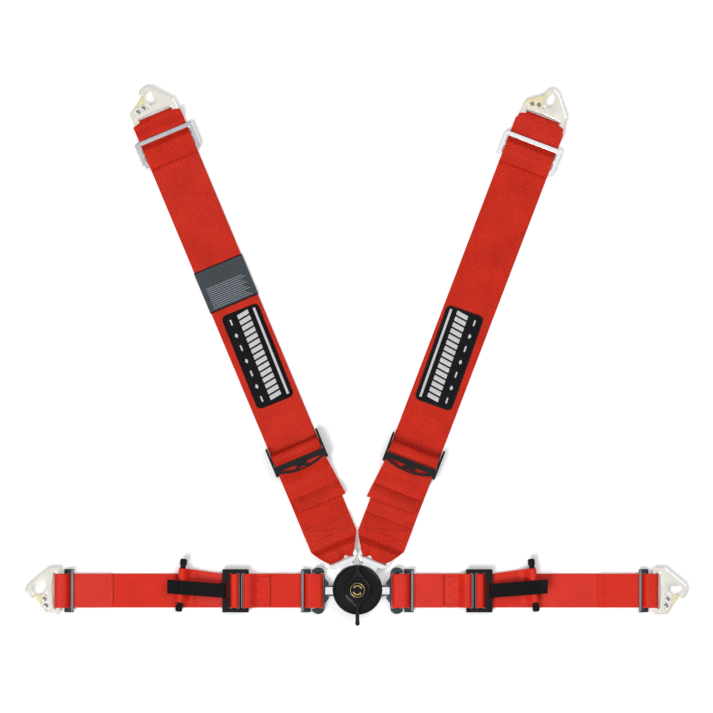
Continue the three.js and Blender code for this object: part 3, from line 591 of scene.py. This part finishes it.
# A flat plate with rounded rims: rings of the outline drawn in at top and bottom, holes bridged.
def makePlate(name, rims, bottom, top, paint, place, edge=0.35, sharp=38, shape=None):
    layers = [(0.0, edge), (edge * 0.3, edge * 0.3), (edge, 0.0)]
    work = bmesh.new()
    topRings, bottomRings = [], []
    for number, rim in enumerate(rims):
        loop = np.asarray(rim, float)
        area = 0.5 * np.sum(loop[:, 0] * np.roll(loop[:, 1], -1) - np.roll(loop[:, 0], -1) * loop[:, 1])
        # The outer rim runs anticlockwise and the holes run clockwise, so inwards is always left.
        if (area < 0) == (number == 0):
            loop = loop[::-1]
        forward = unit(np.roll(loop, -1, axis=0) - loop)
        mean = unit(forward + np.roll(forward, 1, axis=0))
        inward = np.stack([-mean[:, 1], mean[:, 0]], axis=1)
        inward /= np.maximum(0.6, np.sum(mean * forward, axis=1))[:, None]
        heights = [(inset, top - drop) for inset, drop in reversed(layers)]
        heights += [(inset, bottom + drop) for inset, drop in layers]
        rings = []
        for inset, height in heights:
            flat = loop + inward * inset
            rings.append([work.verts.new((x, y, height)) for x, y in flat])
        for above, below in zip(rings[:-1], rings[1:]):
            for four in zip(above, below, below[1:] + below[:1], above[1:] + above[:1]):
                work.faces.new(four)
        topRings.append(rings[0])
        bottomRings.append(rings[-1])
    for ringSet in (topRings, bottomRings):
        edges = [work.edges.get(pair) for ring in ringSet for pair in zip(ring, ring[1:] + ring[:1])]
        bmesh.ops.triangle_fill(work, edges=edges, use_beauty=True, use_dissolve=False)
    bmesh.ops.recalc_face_normals(work, faces=work.faces)
    work.verts.index_update()
    local = np.array([v.co[:] for v in work.verts])
    corners = [[v.index for v in face.verts] for face in work.faces]
    faceSets = [np.array([face for face in corners if len(face) == count]) for count in (3, 4)]
    work.free()
    uv = local[:, :2] * mm
    if shape is not None:
        local = shape(local)
    return makeObject(name, local, faceSets, paint, place, uv, sharp)


def flatRim(points, radius=0.0):
    return roundCorners([(x, y, radius) for x, y in points])


def boxRim(x0, x1, y0, y1, radius):
    return flatRim([(x0, y0), (x1, y0), (x1, y1), (x0, y1)], radius)


def circleRim(x, y, radius, steps=20):
    a = fullTurn(steps)
    return np.stack([x + radius * np.cos(a), y + radius * np.sin(a)], axis=1)

hook = {"bottom": 4.4, "top": 7.0, "rivetSpots": ((19.9, -12.2), (17.6, -22)), "rivetHole": 2.2}


def makeHook(label, place):
    hookBody = label.replace("_", "_hook_")
    # The rim runs round the nose, in through the mouth, round the eye and out again.
    rim = roundCorners([
        (-3, 35.2, 2.5), (-3, -35.4, 2.5), (20.5, -34.6, 4), (25, -26.5, 1.2), (25, -4.8), (20.9, -4.8, 4.1),
        (20.9, 7, 5.7), (39.3, 7, 5.7), (39.3, -1.6, 5), (36.1, -4.25), (36.3, -10.7, 0.9),
        (41.5, -11.6, 2.5), (47.5, -7.5, 4), (49.9, 0.5, 6), (46.5, 9.3, 6), (15.5, 34.8, 7),
    ])
    slotRim = roundCorners([(3, -27.3, 1), (3, 27.3, 1), (7.2, 27.3, 3), (9.4, 0, 40), (7.2, -27.3, 3)])
    holes = [circleRim(x, y, hook["rivetHole"]) for x, y in hook["rivetSpots"]]
    dimples = [circleRim(x, y, 1.1, 14) for x, y in ((16.3, -28.1), (17.5, -5.9))]
    made = makePlate(
        f"{label}_hookPlate", [rim, slotRim, *holes, *dimples],
        hook["bottom"], hook["top"], "zinc", place, edge=0.8,
    )
    rideAndReplace(made, hookBody, f"{label}_hook")

    leaf = roundCorners([
        (13.5, -30.5, 3), (20, -33.6, 2.5), (36.5, -9.6, 1.5), (41, -10, 2), (40, -5.4, 1.5), (15.5, -6.5, 3),
    ])
    keeper = makePlate(
        f"{label}_keeperLeaf", [leaf, *holes],
        2.8, 4.0, "zincYellow", place, edge=0.25,
    )
    # The keeper leaf is baked in place at rest; the two points along it are worked out but not used.
    start, end = place(np.array([[23.6, -16.5, 3.4], [30.0, -15.0, 3.4]]))
    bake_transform(keeper)
    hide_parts(f"{label}_keeper")

    profile = [
        (0.001, 1.5), (1.6, 1.5), (2.5, 1.7), (3.1, 2.3), (1.8, 2.42), (1.8, 7.38),
        (3.1, 7.5), (2.9, 8.0), (2.1, 8.35), (1.0, 8.45), (0.001, 8.45),
    ]
    for number, (x, y) in enumerate(hook["rivetSpots"], 1):
        made = makeTurned(f"{label}_rivetHead_{number}", profile, "greySteel", shifted(place, x, y), 24)
        rideAndReplace(made, hookBody, f"{label}_rivet_{number}")


# A profile (radius, height) carried round the upright axis; both ends lie on the axis.
def makeTurned(name, profile, paint, place, segments=96, sharp=30, flutes=None):
    line = np.asarray(profile, float)
    a = fullTurn(segments)
    rows = len(line) - 2
    inner = line[1:-1]
    radius = np.repeat(inner[:, :1], segments, axis=1)
    if flutes is not None:
        radius = flutes(radius, a[None, :], inner[:, 1:])
    heights = np.repeat(inner[:, 1:], segments, axis=1)
    ring = np.stack([radius * np.cos(a), radius * np.sin(a), heights], axis=-1)
    ends = np.array([[0, 0, line[0, 1]], [0, 0, line[-1, 1]]])
    local = np.vstack([ring.reshape(-1, 3), ends])
    body = gridFaces(rows, segments, wrapColumns=True)
    first, last = rows * segments, rows * segments + 1
    i = np.arange(segments)
    j = (i + 1) % segments
    startCap = np.stack([np.full(segments, first), j, i], axis=1)
    base = (rows - 1) * segments
    endCap = np.stack([np.full(segments, last), base + i, base + j], axis=1)
    return makeObject(name, local, [body, startCap, endCap], paint, place, None, sharp)


for side in sides:
    atHook = shifted(shoulderPlace(side), shoulderBelts[side]["hook"])
    makeHook(f"shoulder_{side}", turnedOver(atHook) if side == "right" else atHook)
    makeHook(f"lap_{side}", shifted(lapPlace(side), lapBelts[side]["hook"]))
print("hooks made")

neck = {"bottom": 4.4, "top": 7.0, "tip": 17, "window": (21.2, 25.6, 4)}


def neckHalf(half, shoulder):
    return [(shoulder, half, 2), (shoulder - 4, 7, 2), (neck["tip"], 7, 2.5)]


def bothHalves(half):
    return half + [(x, -y, *rest) for x, y, *rest in reversed(half)]


def windowRim():
    start, end, half = neck["window"]
    return [(start, -half, 0.4), (end, -half, 0.4), (end, half, 0.4), (start, half, 0.4)]


# The neck points at the buckle's centre, so it is turned inside the tongue's own frame.
def makeShoulderTongue(side):
    belt = shoulderBelts[side]
    turn = np.radians(61.6 - belt["angle"])
    c, s = np.cos(turn), np.sin(turn)

    def turned(corners):
        return [(c * x - s * y, s * x + c * y - belt["shift"], *rest) for x, y, *rest in corners]

    # Where the neck's sides meet the straight inner edge of the head.
    def crossing(y):
        x = (41 + s * y) / c
        return (41, s * x + c * y - belt["shift"], 0.5)

    upper = [(57.8, 25.5, 3), (48.8, 25.5, 6), (41, 16, 5)]
    lower = [(x, -y, r) for x, y, r in reversed(upper)]
    inner = bothHalves(neckHalf(11.5, 31))
    rim = roundCorners(upper + [crossing(11.5)] + turned(inner) + [crossing(-11.5)] + lower)
    slot = roundCorners([(48, -20.75, 1.5), (51.8, -20.75, 0.8), (51.8, 20.75, 0.8), (48, 20.75, 1.5)])
    made = makePlate(
        f"shoulderTongue_{side}", [rim, slot, roundCorners(turned(windowRim()))],
        neck["bottom"], neck["top"], "chrome", shoulderPlace(side), edge=0.5,
    )
    rideAndReplace(made, f"shoulder_tongue_{side}", f"shoulder_tongue_{side}")


# The lap tongue is dark with a bright neck, which is inlaid as a second thin skin.
def makeLapTongue(side):
    half = [
        (62.3, 26.6, 1), (67.5, 26.6, 1.5), (69, 30.5, 3), (60, 36, 9), (50, 32.5, 8),
        (48.5, 18.5, 3), (43.4, 12.5, 2), (42.8, 9, 0.8), (47.5, 7.75, 0.4),
    ] + neckHalf(7.75, 27)
    rim = roundCorners(bothHalves(half))
    slot = roundCorners([(51.1, -26.5, 1.5), (56.3, -26.5, 0.8), (56.3, 26.5, 0.8), (51.1, 26.5, 1.5)])
    made = makePlate(
        f"lapTongue_{side}", [rim, slot, roundCorners(windowRim())],
        neck["bottom"], neck["top"], "gunmetal", lapPlace(side), edge=0.5,
    )
    rideAndReplace(made, f"lap_tongue_{side}", f"lap_tongue_{side}")
    bright = roundCorners(bothHalves([(48.2, 5.6, 2), (28, 5.6, 1)]))
    inlay = makePlate(f"lapTongueNeck_{side}", [bright], 6.9, 7.15, "chrome", lapPlace(side), edge=0.1)
    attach(inlay, f"lap_tongue_{side}")


for side in sides:
    makeShoulderTongue(side)
    makeLapTongue(side)
print("tongues made")

slide = {
    "length": 41, "half": 46.7, "slots": ((7, 17.5), (23, 34)), "slotHalf": 39.2, "bottom": 4.3, "top": 6.7,
}


def makeShoulderSlide(side):
    rim = boxRim(0, slide["length"], -slide["half"], slide["half"], 5)
    slots = [boxRim(a, b, -slide["slotHalf"], slide["slotHalf"], 1.5) for a, b in slide["slots"]]
    place = shifted(shoulderPlace(side), shoulderBelts[side]["slide"])
    # The left slide is the same chrome part as the right one, given a darker copy of the chrome as painted
    # shade.
    paint = "chromeShaded" if side == "left" else "chrome"
    made = makePlate(
        f"shoulderSlide_{side}", [rim, *slots], slide["bottom"], slide["top"], paint, place, edge=0.9
    )
    rideAndReplace(made, f"upper_belt_{side}", f"shoulder_slide_{side}")


# A carried-over piece: a merged copy of the frame's mesh with rounded edges and its own finish.
def makeRefined(name, node, paint, bevel=0.35):
    source = frame["nodes"][node]
    mesh = source.data.copy()
    work = bmesh.new()
    work.from_mesh(mesh)
    bmesh.ops.remove_doubles(work, verts=work.verts, dist=2e-6)
    bmesh.ops.dissolve_limit(work, angle_limit=np.radians(1.5), verts=work.verts, edges=work.edges)
    work.to_mesh(mesh)
    work.free()
    mesh.polygons.foreach_set("use_smooth", np.ones(len(mesh.polygons), bool))
    mesh.set_sharp_from_angle(angle=np.radians(35))
    mesh.materials.clear()
    mesh.materials.append(materials[paint])
    made = addObject(name, mesh)
    rounding = made.modifiers.new("bevel", "BEVEL")
    rounding.width = bevel * mm
    rounding.segments = 3
    rounding.limit_method = "ANGLE"
    rounding.angle_limit = np.radians(36)
    made.modifiers.new("weighted", "WEIGHTED_NORMAL")
    rideAndReplace(made, source["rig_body"], node)


# The bright outer bar of a lap slide is painted highlight: a thin grey plate laid on the dark frame where its
# edge catches light.
def makeLapSlide(name, node, place):
    makeRefined(f"{name}Frame", node, "gunmetal", 0.4)
    rim = boxRim(10.6, 13.9, -30.6, 30.6, 1)
    paintedHighlight = makePlate(f"{name}Bar", [rim], 6.2, 6.85, "greySteel", place, edge=0.3)
    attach(paintedHighlight, frame["nodes"][node]["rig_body"])


for side in sides:
    makeShoulderSlide(side)
    makeLapSlide(f"innerSlide_{side}", f"inner_slide_{side}", shifted(lapPlace(side), 70))
    outerEnd = lapBelts[side]["hook"] - 9.2
    outerPlace = shifted(mirroredAcross(lapPlace(side)), -outerEnd)
    makeLapSlide(f"outerSlide_{side}", f"outer_slide_{side}", outerPlace)
print("slides made")

refinedOnBothSides = (
    ("shoulderAdjuster", "shoulder_adjuster", "gloss", 0.6),
    ("shoulderLock", "shoulder_lock_bar", "blackSteel", 0.3),
    ("lapAdjuster", "lap_adjuster", "blackSteel", 0.5),
    ("lapLock", "lap_lock_bar", "blackSteel", 0.3),
)
for side in sides:
    for name, node, paint, bevel in refinedOnBothSides:
        makeRefined(f"{name}_{side}", f"{node}_{side}", paint, bevel)


pullBar = {"half": 39.8, "station": 264, "across": 8.5, "height": 8.4, "tilt": 5.8, "grip": (30.5, 38.0)}


# The pull bar is a rod with rounded end caps, which are fluted for grip.
def makePullBar(side):
    half, place = pullBar["half"], lapPlace(side)
    cap = [(0.001, 0), (3.0, 0), (4.3, 0.4), (5.0, 1.2), (5.2, 2.4), (5.2, 8.4), (4.9, 9.2), (4.1, 10)]
    profile = [(r, h - half) for r, h in cap] + [(r, half - h) for r, h in reversed(cap)]
    c, s = np.cos(np.radians(pullBar["tilt"])), np.sin(np.radians(pullBar["tilt"]))

    # The rod's axis is laid along the belt's width, then turned to its tilt.
    def laid(local):
        x, y, z = local.T
        station = pullBar["station"] + c * x + s * z
        return place(np.stack([station, pullBar["across"] + s * x - c * z, pullBar["height"] + y], axis=1))

    def fluted(radius, a, z):
        low, high = pullBar["grip"]
        grip = (np.abs(z) > low) & (np.abs(z) < high)
        return radius + 0.12 * grip * np.cos(a * 14)

    made = makeTurned(f"pullBar_{side}", profile, "satin", laid, 56, flutes=fluted)
    rideAndReplace(made, f"outer_belt_{side}", f"pull_bar_{side}")


# The middle bar of the lap adjuster: dark, with a painted highlight along its edge, a thin grey strip where the
# edge catches light.
def makeMiddleBar(side):
    for name, rim, bottom, top, paint, edge in (
        ("lapMiddleBar", boxRim(171.8, 176.8, -27, 27, 0.8), 3.4, 6.8, "blackSteel", 0.6),
        ("lapMiddleBarEdge", boxRim(172.6, 173.9, -26, 26, 0.4), 6.6, 6.95, "greySteel", 0.12),
    ):
        bar = makePlate(f"{name}_{side}", [rim], bottom, top, paint, lapPlace(side), edge)
        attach(bar, f"outer_belt_{side}")


for side in sides:
    makePullBar(side)
    makeMiddleBar(side)
print("adjusters made")

buckle = {"radius": 37.3, "wall": 2.7, "base": 2.8, "slotTop": 7.4, "face": 18.2, "rim": 20, "hole": 4.9}
tongueDirections = ((0, 8.15), (61.6, 11.9), (118.4, 11.9), (180, 8.15))


# The cover is one turned shell; its lower edge steps up over each tongue's slot and its rim
# steps down under the long arm of the handle.
def makeCover():
    radius, wall = buckle["radius"], buckle["wall"]
    slots = []
    for direction, half in tongueDirections:
        drop = -2 if half < 10 else 0
        middle = np.radians(direction) + np.arcsin(drop / radius) * np.cos(np.radians(direction))
        slots.append((middle, np.arcsin(half / radius)))
    notch = (np.radians(270), np.arcsin(4.8 / radius))
    a = fullTurn(240)
    for middle, half in [*slots, notch]:
        for edge in (middle - half, middle + half):
            a = np.concatenate([a, [edge - 0.0006, edge + 0.0006]])
    a = np.unique(np.mod(a, 2 * np.pi))

    def inside(middle, half):
        return np.abs(np.mod(a - middle + np.pi, 2 * np.pi) - np.pi) < half

    overTongue = np.any([inside(m, h) for m, h in slots], axis=0)
    underArm = inside(*notch)
    inner = radius - wall
    hole, base, face, rim = buckle["hole"], buckle["base"], buckle["face"], buckle["rim"]
    # Radius, height, and a mark: 1 follows the slots' steps and 2 the notch's.
    profile = [
        (hole, 16.4, 0), (inner - 2, 16.4, 0), (inner, 14.4, 0), (inner, base, 1), (radius - 0.4, base, 1),
        (radius, base + 0.4, 1), (radius, rim - 2.6, 0), (radius - 0.1, rim - 1.6, 2),
        (radius - 0.5, rim - 0.7, 2), (radius - 1.1, rim - 0.15, 2), (radius - 1.8, rim, 2),
        (radius - 2.5, rim - 0.1, 2), (radius - 3.1, rim - 0.5, 2), (radius - 3.5, rim - 1.1, 2),
        (radius - 3.7, face, 0), (radius - 4.3, face - 0.12, 0), (radius - 6.3, face - 0.2, 0),
        (21.6, face - 0.2, 0), (21, face, 0), (hole + 0.5, face, 0), (hole, face - 0.4, 0),
    ]
    # The rows of faces that are satin: the face inside the rim, and the underside next to the hole.
    firstSatin, lastSatin = 14, 1
    count = len(a)
    points = []
    for r, z, mark in profile:
        height = np.full(count, float(z))
        if mark == 1:
            height = np.where(overTongue, buckle["slotTop"] + (z - base), height)
        if mark == 2:
            height = np.where(underArm, face - 0.02 * (z - face), height)
        points.append(np.stack([r * np.cos(a), r * np.sin(a), height], axis=1))
    faces = gridFaces(len(profile), count, wrapRows=True, wrapColumns=True)
    made = makeObject("buckleCover", np.vstack(points), [faces], "gloss", plainPlace, None, 30)
    made.data.materials.append(materials["satin"])
    row = np.repeat(np.arange(len(profile)), count)
    satin = (row >= firstSatin) | (row <= lastSatin)
    made.data.polygons.foreach_set("material_index", satin.astype(np.int32))
    rideAndReplace(made, "buckle", "buckle_cover")


handle = {"bottom": 20.6, "armTop": 25.0, "top": 26.2, "radius": 20}


def polar(radius, angle):
    return radius * np.cos(angle), radius * np.sin(angle)


def makeHandle():
    right = [(3.2, 36.8, 3), (2.6, 28.5, 12), (9.6, 18.4, 2)]
    right += [polar(handle["radius"], t) for t in np.radians(np.linspace(60, -66, 26))]
    right += [(3.1, -25.5, 6), (2.9, -44, 20), (3.9, -53.4, 3.4)]
    left = [(-x, y, *rest) for x, y, *rest in reversed(right)]

    # The tops of the arms slope down a little towards their ends.
    def sloped(local):
        x, y, z = local.T
        out = np.clip((np.abs(y) - 22) / 30, 0, 1)
        return np.stack([x, y, z - 0.5 * out * (z > 21.5)], axis=1)

    arms = makePlate(
        "handleArms", [roundCorners(right + left)], handle["bottom"], handle["armTop"], "gloss", plainPlace,
        edge=1.1, shape=sloped,
    )
    rideAndReplace(arms, "release", "handle")
    top = handle["top"]
    profile = [
        (0.001, 20.65), (19.2, 20.65), (19.7, 20.9), (20, 21.4), (19.9, top - 3.0), (19.5, top - 1.7),
        (18.7, top - 0.7), (17.6, top - 0.15), (16.3, top + 0.05), (15.7, top), (15.3, top - 0.4),
        (15.2, 24.3), (15.15, 24.1), (0.001, 24.1),
    ]
    hub = makeTurned("handleHub", profile, "gloss", plainPlace, 128, sharp=32)
    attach(hub, "release")


def makeCap():
    profile = [
        (0.001, 24.4), (14.5, 24.4), (14.8, 24.7), (14.8, 26.3), (14.5, 26.9), (13.8, 27.3), (12.6, 27.5),
        (9.0, 27.9), (4.5, 28.15), (0.001, 28.2),
    ]
    made = makeTurned("centreCap", profile, "satin", plainPlace, 96, sharp=32)
    rideAndReplace(made, "release", "centre_cap")
    # The badge: a thin gold ring and two plain curved arrows.
    a, tube = fullTurn(96), fullTurn(10)
    reach = 10.4 + 0.38 * np.cos(tube)
    level = np.tile(27.76 + 0.22 * np.sin(tube), (len(a), 1))
    ring = np.stack([np.outer(np.cos(a), reach), np.outer(np.sin(a), reach), level], axis=-1).reshape(-1, 3)
    faces = gridFaces(len(a), len(tube), True, True)
    badge = makeObject("badgeRing", ring, [faces], "gold", plainPlace, None, 60)
    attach(badge, "release")
    for number, start in enumerate((20, 200)):
        turn = np.radians(np.linspace(start, start + 105, 22))
        end = turn[-1]
        rim = [polar(7.2, t) for t in turn]
        rim += [polar(8.3, end), polar(6.6, end + 0.42), polar(4.9, end)]
        rim += [polar(6.0, t) for t in turn[::-1]]
        arrow = makePlate(
            f"badgeArrow_{number + 1}", [np.array(rim)], 27.9, 28.25, "gold", plainPlace, edge=0.08
        )
        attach(arrow, "release")


def paintNode(node, paint):
    mesh = frame["nodes"][node].data
    mesh.materials.clear()
    mesh.materials.append(materials[paint])


makeCover()
makeHandle()
makeCap()
makeRefined("backPlate", "back_plate", "zinc", 0.3)
makeRefined("releaseCam", "release_cam", "blackSteel", 0.2)
for node in ("tongue_guide", "latch_spring", "return_spring"):
    paintNode(node, "spring")
paintNode("spindle", "blackSteel")
print("buckle made")

patch = {"length": 150, "half": 29.5, "bottom": 2.4, "top": 3.3, "turn": {"left": 0.9, "right": 1.4}}


# A woven patch with a raised border, one long stripe, a row of slanted bars and small marks.
def makePatch(side):
    belt, body = shoulderBelts[side], f"upper_belt_{side}"
    place = shifted(shoulderPlace(side), belt["anchor"] + 101, 0.5, patch["turn"][side])
    length, half, top = patch["length"], patch["half"], patch["top"]
    base = makePlate(
        f"patch_{side}Base", [boxRim(0, length, -half, half, 8)], patch["bottom"], top, "black", place, edge=0.35
    )
    rideAndReplace(base, body, f"patch_{side}")
    inner = boxRim(2.6, length - 2.6, -half + 2.6, half - 2.6, 5.6)
    outer = boxRim(0.3, length - 0.3, -half + 0.3, half - 0.3, 7.8)
    border = makePlate(
        f"patch_{side}Border", [outer, inner], top - 0.3, top + 0.25, "blackThread", place, edge=0.25
    )
    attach(border, body)
    prints = [boxRim(6, length - 5, 19.8, 23.4, 0.5)]
    slant, wide = 3, 6.6
    for a in np.arange(6.5, 138, 9.3):
        prints.append(flatRim([(a, -6), (a + wide, -6), (a + wide + slant, 12), (a + slant, 12)], 0.6))
    for number, a in enumerate(np.arange(9, 140, 20.5)):
        if number % 2:
            prints.append(flatRim([(a, -18), (a + 4, -20.6), (a + 8, -18), (a + 4, -15.4)], 0.3))
        else:
            prints.append(boxRim(a, a + 9, -19.2, -16.8, 0.8))
    for number, rim in enumerate(prints):
        name = f"patch_{side}Print_{number}"
        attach(makePlate(name, [rim], top - 0.1, top + 0.09, "print", place, edge=0.04), body)


label = {"start": 466, "end": 531, "half": 38.95, "inside": 2.45, "top": 3.0, "wall": 0.5, "printHalf": 31}


# The label is a thin satin band wrapped over the belt, with plain raised ribs on its top.
def makeLabel():
    place, body = shoulderPlace("left"), "upper_belt_left"
    start, end, half, wall = label["start"], label["end"], label["half"], label["wall"]
    section = roundCorners([
        (-half, 0.5), (-half + wall, 0.5), (-half + wall, label["inside"], 0.4),
        (half - wall, label["inside"], 0.4), (half - wall, 0.5), (half, 0.5),
        (half, label["top"], 0.7), (-half, label["top"], 0.7),
    ], stepDegrees=15)
    section = subdivided(np.vstack([section, section[:1]]), 3.0)[:-1]
    stations = np.concatenate([[start, start + 0.3], np.linspace(start + 1, end - 1, 24), [end - 0.3, end]])
    rows, count = len(stations), len(section)
    s = np.repeat(stations[:, None], count, axis=1)
    v = np.repeat(section[None, :, 0], rows, axis=0)
    z = np.repeat(section[None, :, 1], rows, axis=0)
    # The top waves a little, and dips where its ends are sewn down.
    folded = between(s, start, end, 3)
    wave = 0.12 * folded * np.sin(s * 0.21 + v * 0.06) - 0.22 * (1 - folded)
    local = np.stack([s, v, z + np.where(z > 2.7, wave, 0)], axis=-1).reshape(-1, 3)
    faces = gridFaces(rows, count, wrapColumns=True)
    index = np.arange(rows * count).reshape(rows, count)
    uv = local[:, [1, 0]] * mm
    made = makeObject("labelBand", local, [faces, index[:1, ::-1], index[-1:]], "label", place, uv, 50)
    rideAndReplace(made, body, "label")
    printHalf = label["printHalf"]
    for number, a in enumerate(np.arange(470.5, 503, 3.1)):
        rim = boxRim(a, a + 0.9, -printHalf, printHalf - 4 * (number % 3), 0.3)
        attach(makePlate(f"labelRib_{number}", [rim], 2.85, 3.2, "labelPrint", place, edge=0.1), body)
    for name, a, b in (("low", start - 0.4, start + 1.6), ("high", end - 1.3, end + 0.3)):
        rim = boxRim(a, b, -38.6, 38.6, 0.6)
        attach(makePlate(f"labelHem_{name}", [rim], 2.2, 3.35, "black", place, edge=0.25), body)


for side in sides:
    makePatch(side)
makeLabel()
print("patches and label made")

stitch = {"pitch": 3.1, "long": 2.2, "thick": 0.62, "around": 8}


# Short thread capsules laid along polylines (station, across); the height comes from a rule.
def makeStitches(name, lines, height, place, body, paint="thread"):
    long, points = stitch["long"], stitch["around"]
    centres, headings = [], []
    for line in lines:
        line = np.asarray(line, float)
        for a, b in zip(line[:-1], line[1:]):
            run = np.linalg.norm(b - a)
            count = max(1, int(round(run / stitch["pitch"])))
            shares = (np.arange(count) + 0.5) / count
            centres.append(a + (b - a) * shares[:, None])
            headings.append(np.full(count, np.arctan2(*(b - a)[::-1])))
    centres, headings = np.vstack(centres), np.concatenate(headings)
    around = fullTurn(points)
    x = long * np.array([-0.5, -0.44, -0.28, 0, 0.28, 0.44, 0.5])
    size = stitch["thick"] / 2 * np.array([0.15, 0.6, 0.9, 1, 0.9, 0.6, 0.15])
    y, z = np.outer(size, np.cos(around)), np.outer(size, np.sin(around)) * 0.6
    template = np.stack([np.repeat(x, points), y.reshape(-1), z.reshape(-1)], axis=1)
    half = long * 0.3
    ahead = np.stack([np.cos(headings), np.sin(headings)], axis=1)
    low, high = centres - ahead * half, centres + ahead * half
    lowHeight, highHeight = height(*low.T), height(*high.T)
    slope = ((highHeight - lowHeight) / (2 * half))[:, None]
    middle = ((highHeight + lowHeight) / 2)[:, None]
    c, s = ahead[:, :1], ahead[:, 1:]
    tx, ty, tz = template.T
    station = centres[:, :1] + c * tx - s * ty
    across = centres[:, 1:] + s * tx + c * ty
    local = np.stack([station, across, middle + slope * tx + tz], axis=-1).reshape(-1, 3)
    tube = gridFaces(len(x), points, wrapColumns=True)[:, ::-1]
    start = np.arange(points)[None, :]
    ends = np.vstack([start, start[:, ::-1] + len(template) - points])
    steps = (np.arange(len(centres)) * len(template))[:, None, None]
    faces = (tube[None] + steps).reshape(-1, 4)
    caps = (ends[None] + steps).reshape(-1, points)
    uv = np.tile(template[:, :2], (len(centres), 1)) * mm
    made = makeObject(name, local, [faces, caps], paint, place, uv, 80)
    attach(made, body)


def levelAt(z):
    return lambda s, v: np.full(len(s), float(z))


def boxLine(a, b, low, high):
    return [(a, low), (b, low), (b, high), (a, high), (a, low)]


def acrossRows(stations, reach):
    return [[(s, -reach), (s, reach)] for s in stations]


for side in sides:
    shoulder, lap = shoulderPlace(side), lapPlace(side)
    shoulderTail, lapTail = shoulderBelts[side]["tail"], lapBelts[side]["tail"]
    # The doubled webbing at the adjuster is closed with a box and a W of thread.
    top = roundCorners([(120, 3.1), (150.7, 3.1, 4), (161.7, 10.2, 4), (170, 10.2)], False)
    lines = [boxLine(131, 156, -21, 21), [(154, 18), (134, 9), (154, 0), (134, -9), (154, -18)]]

    def innerHeight(s, v):
        return np.interp(s, top[:, 0], top[:, 1]) + 0.92

    makeStitches(f"innerStitch_{side}", lines, innerHeight, lap, f"inner_belt_{side}")
    lines = acrossRows((84, 87.5), 22)
    makeStitches(f"innerTongueStitch_{side}", lines, levelAt(3.98), lap, f"inner_belt_{side}")
    lines = acrossRows((lapTail + 5, lapTail + 8.5), 22)
    makeStitches(f"hookStitch_{side}", lines, levelAt(3.97), lap, f"outer_belt_{side}")
    lines = [boxLine(91, 108, -31, 31), [(91, 28), (108, -28)]]
    makeStitches(f"shoulderSeam_{side}", lines, levelAt(4.0), shoulder, f"lower_belt_{side}")
    # The pull-tail's folded end leans inwards.
    lines = [[(shoulderTail + d, -28), (shoulderTail + d, 40)] for d in (14.5, 18)]
    makeStitches(f"tailStitch_{side}", lines, levelAt(7.55), shoulder, f"upper_belt_{side}")
    lines = [boxLine(270, 281, -3, 15)]
    makeStitches(f"tabStitch_{side}", lines, levelAt(18.66), lap, f"release_tab_{side}", "blackThread")
print("stitching made")
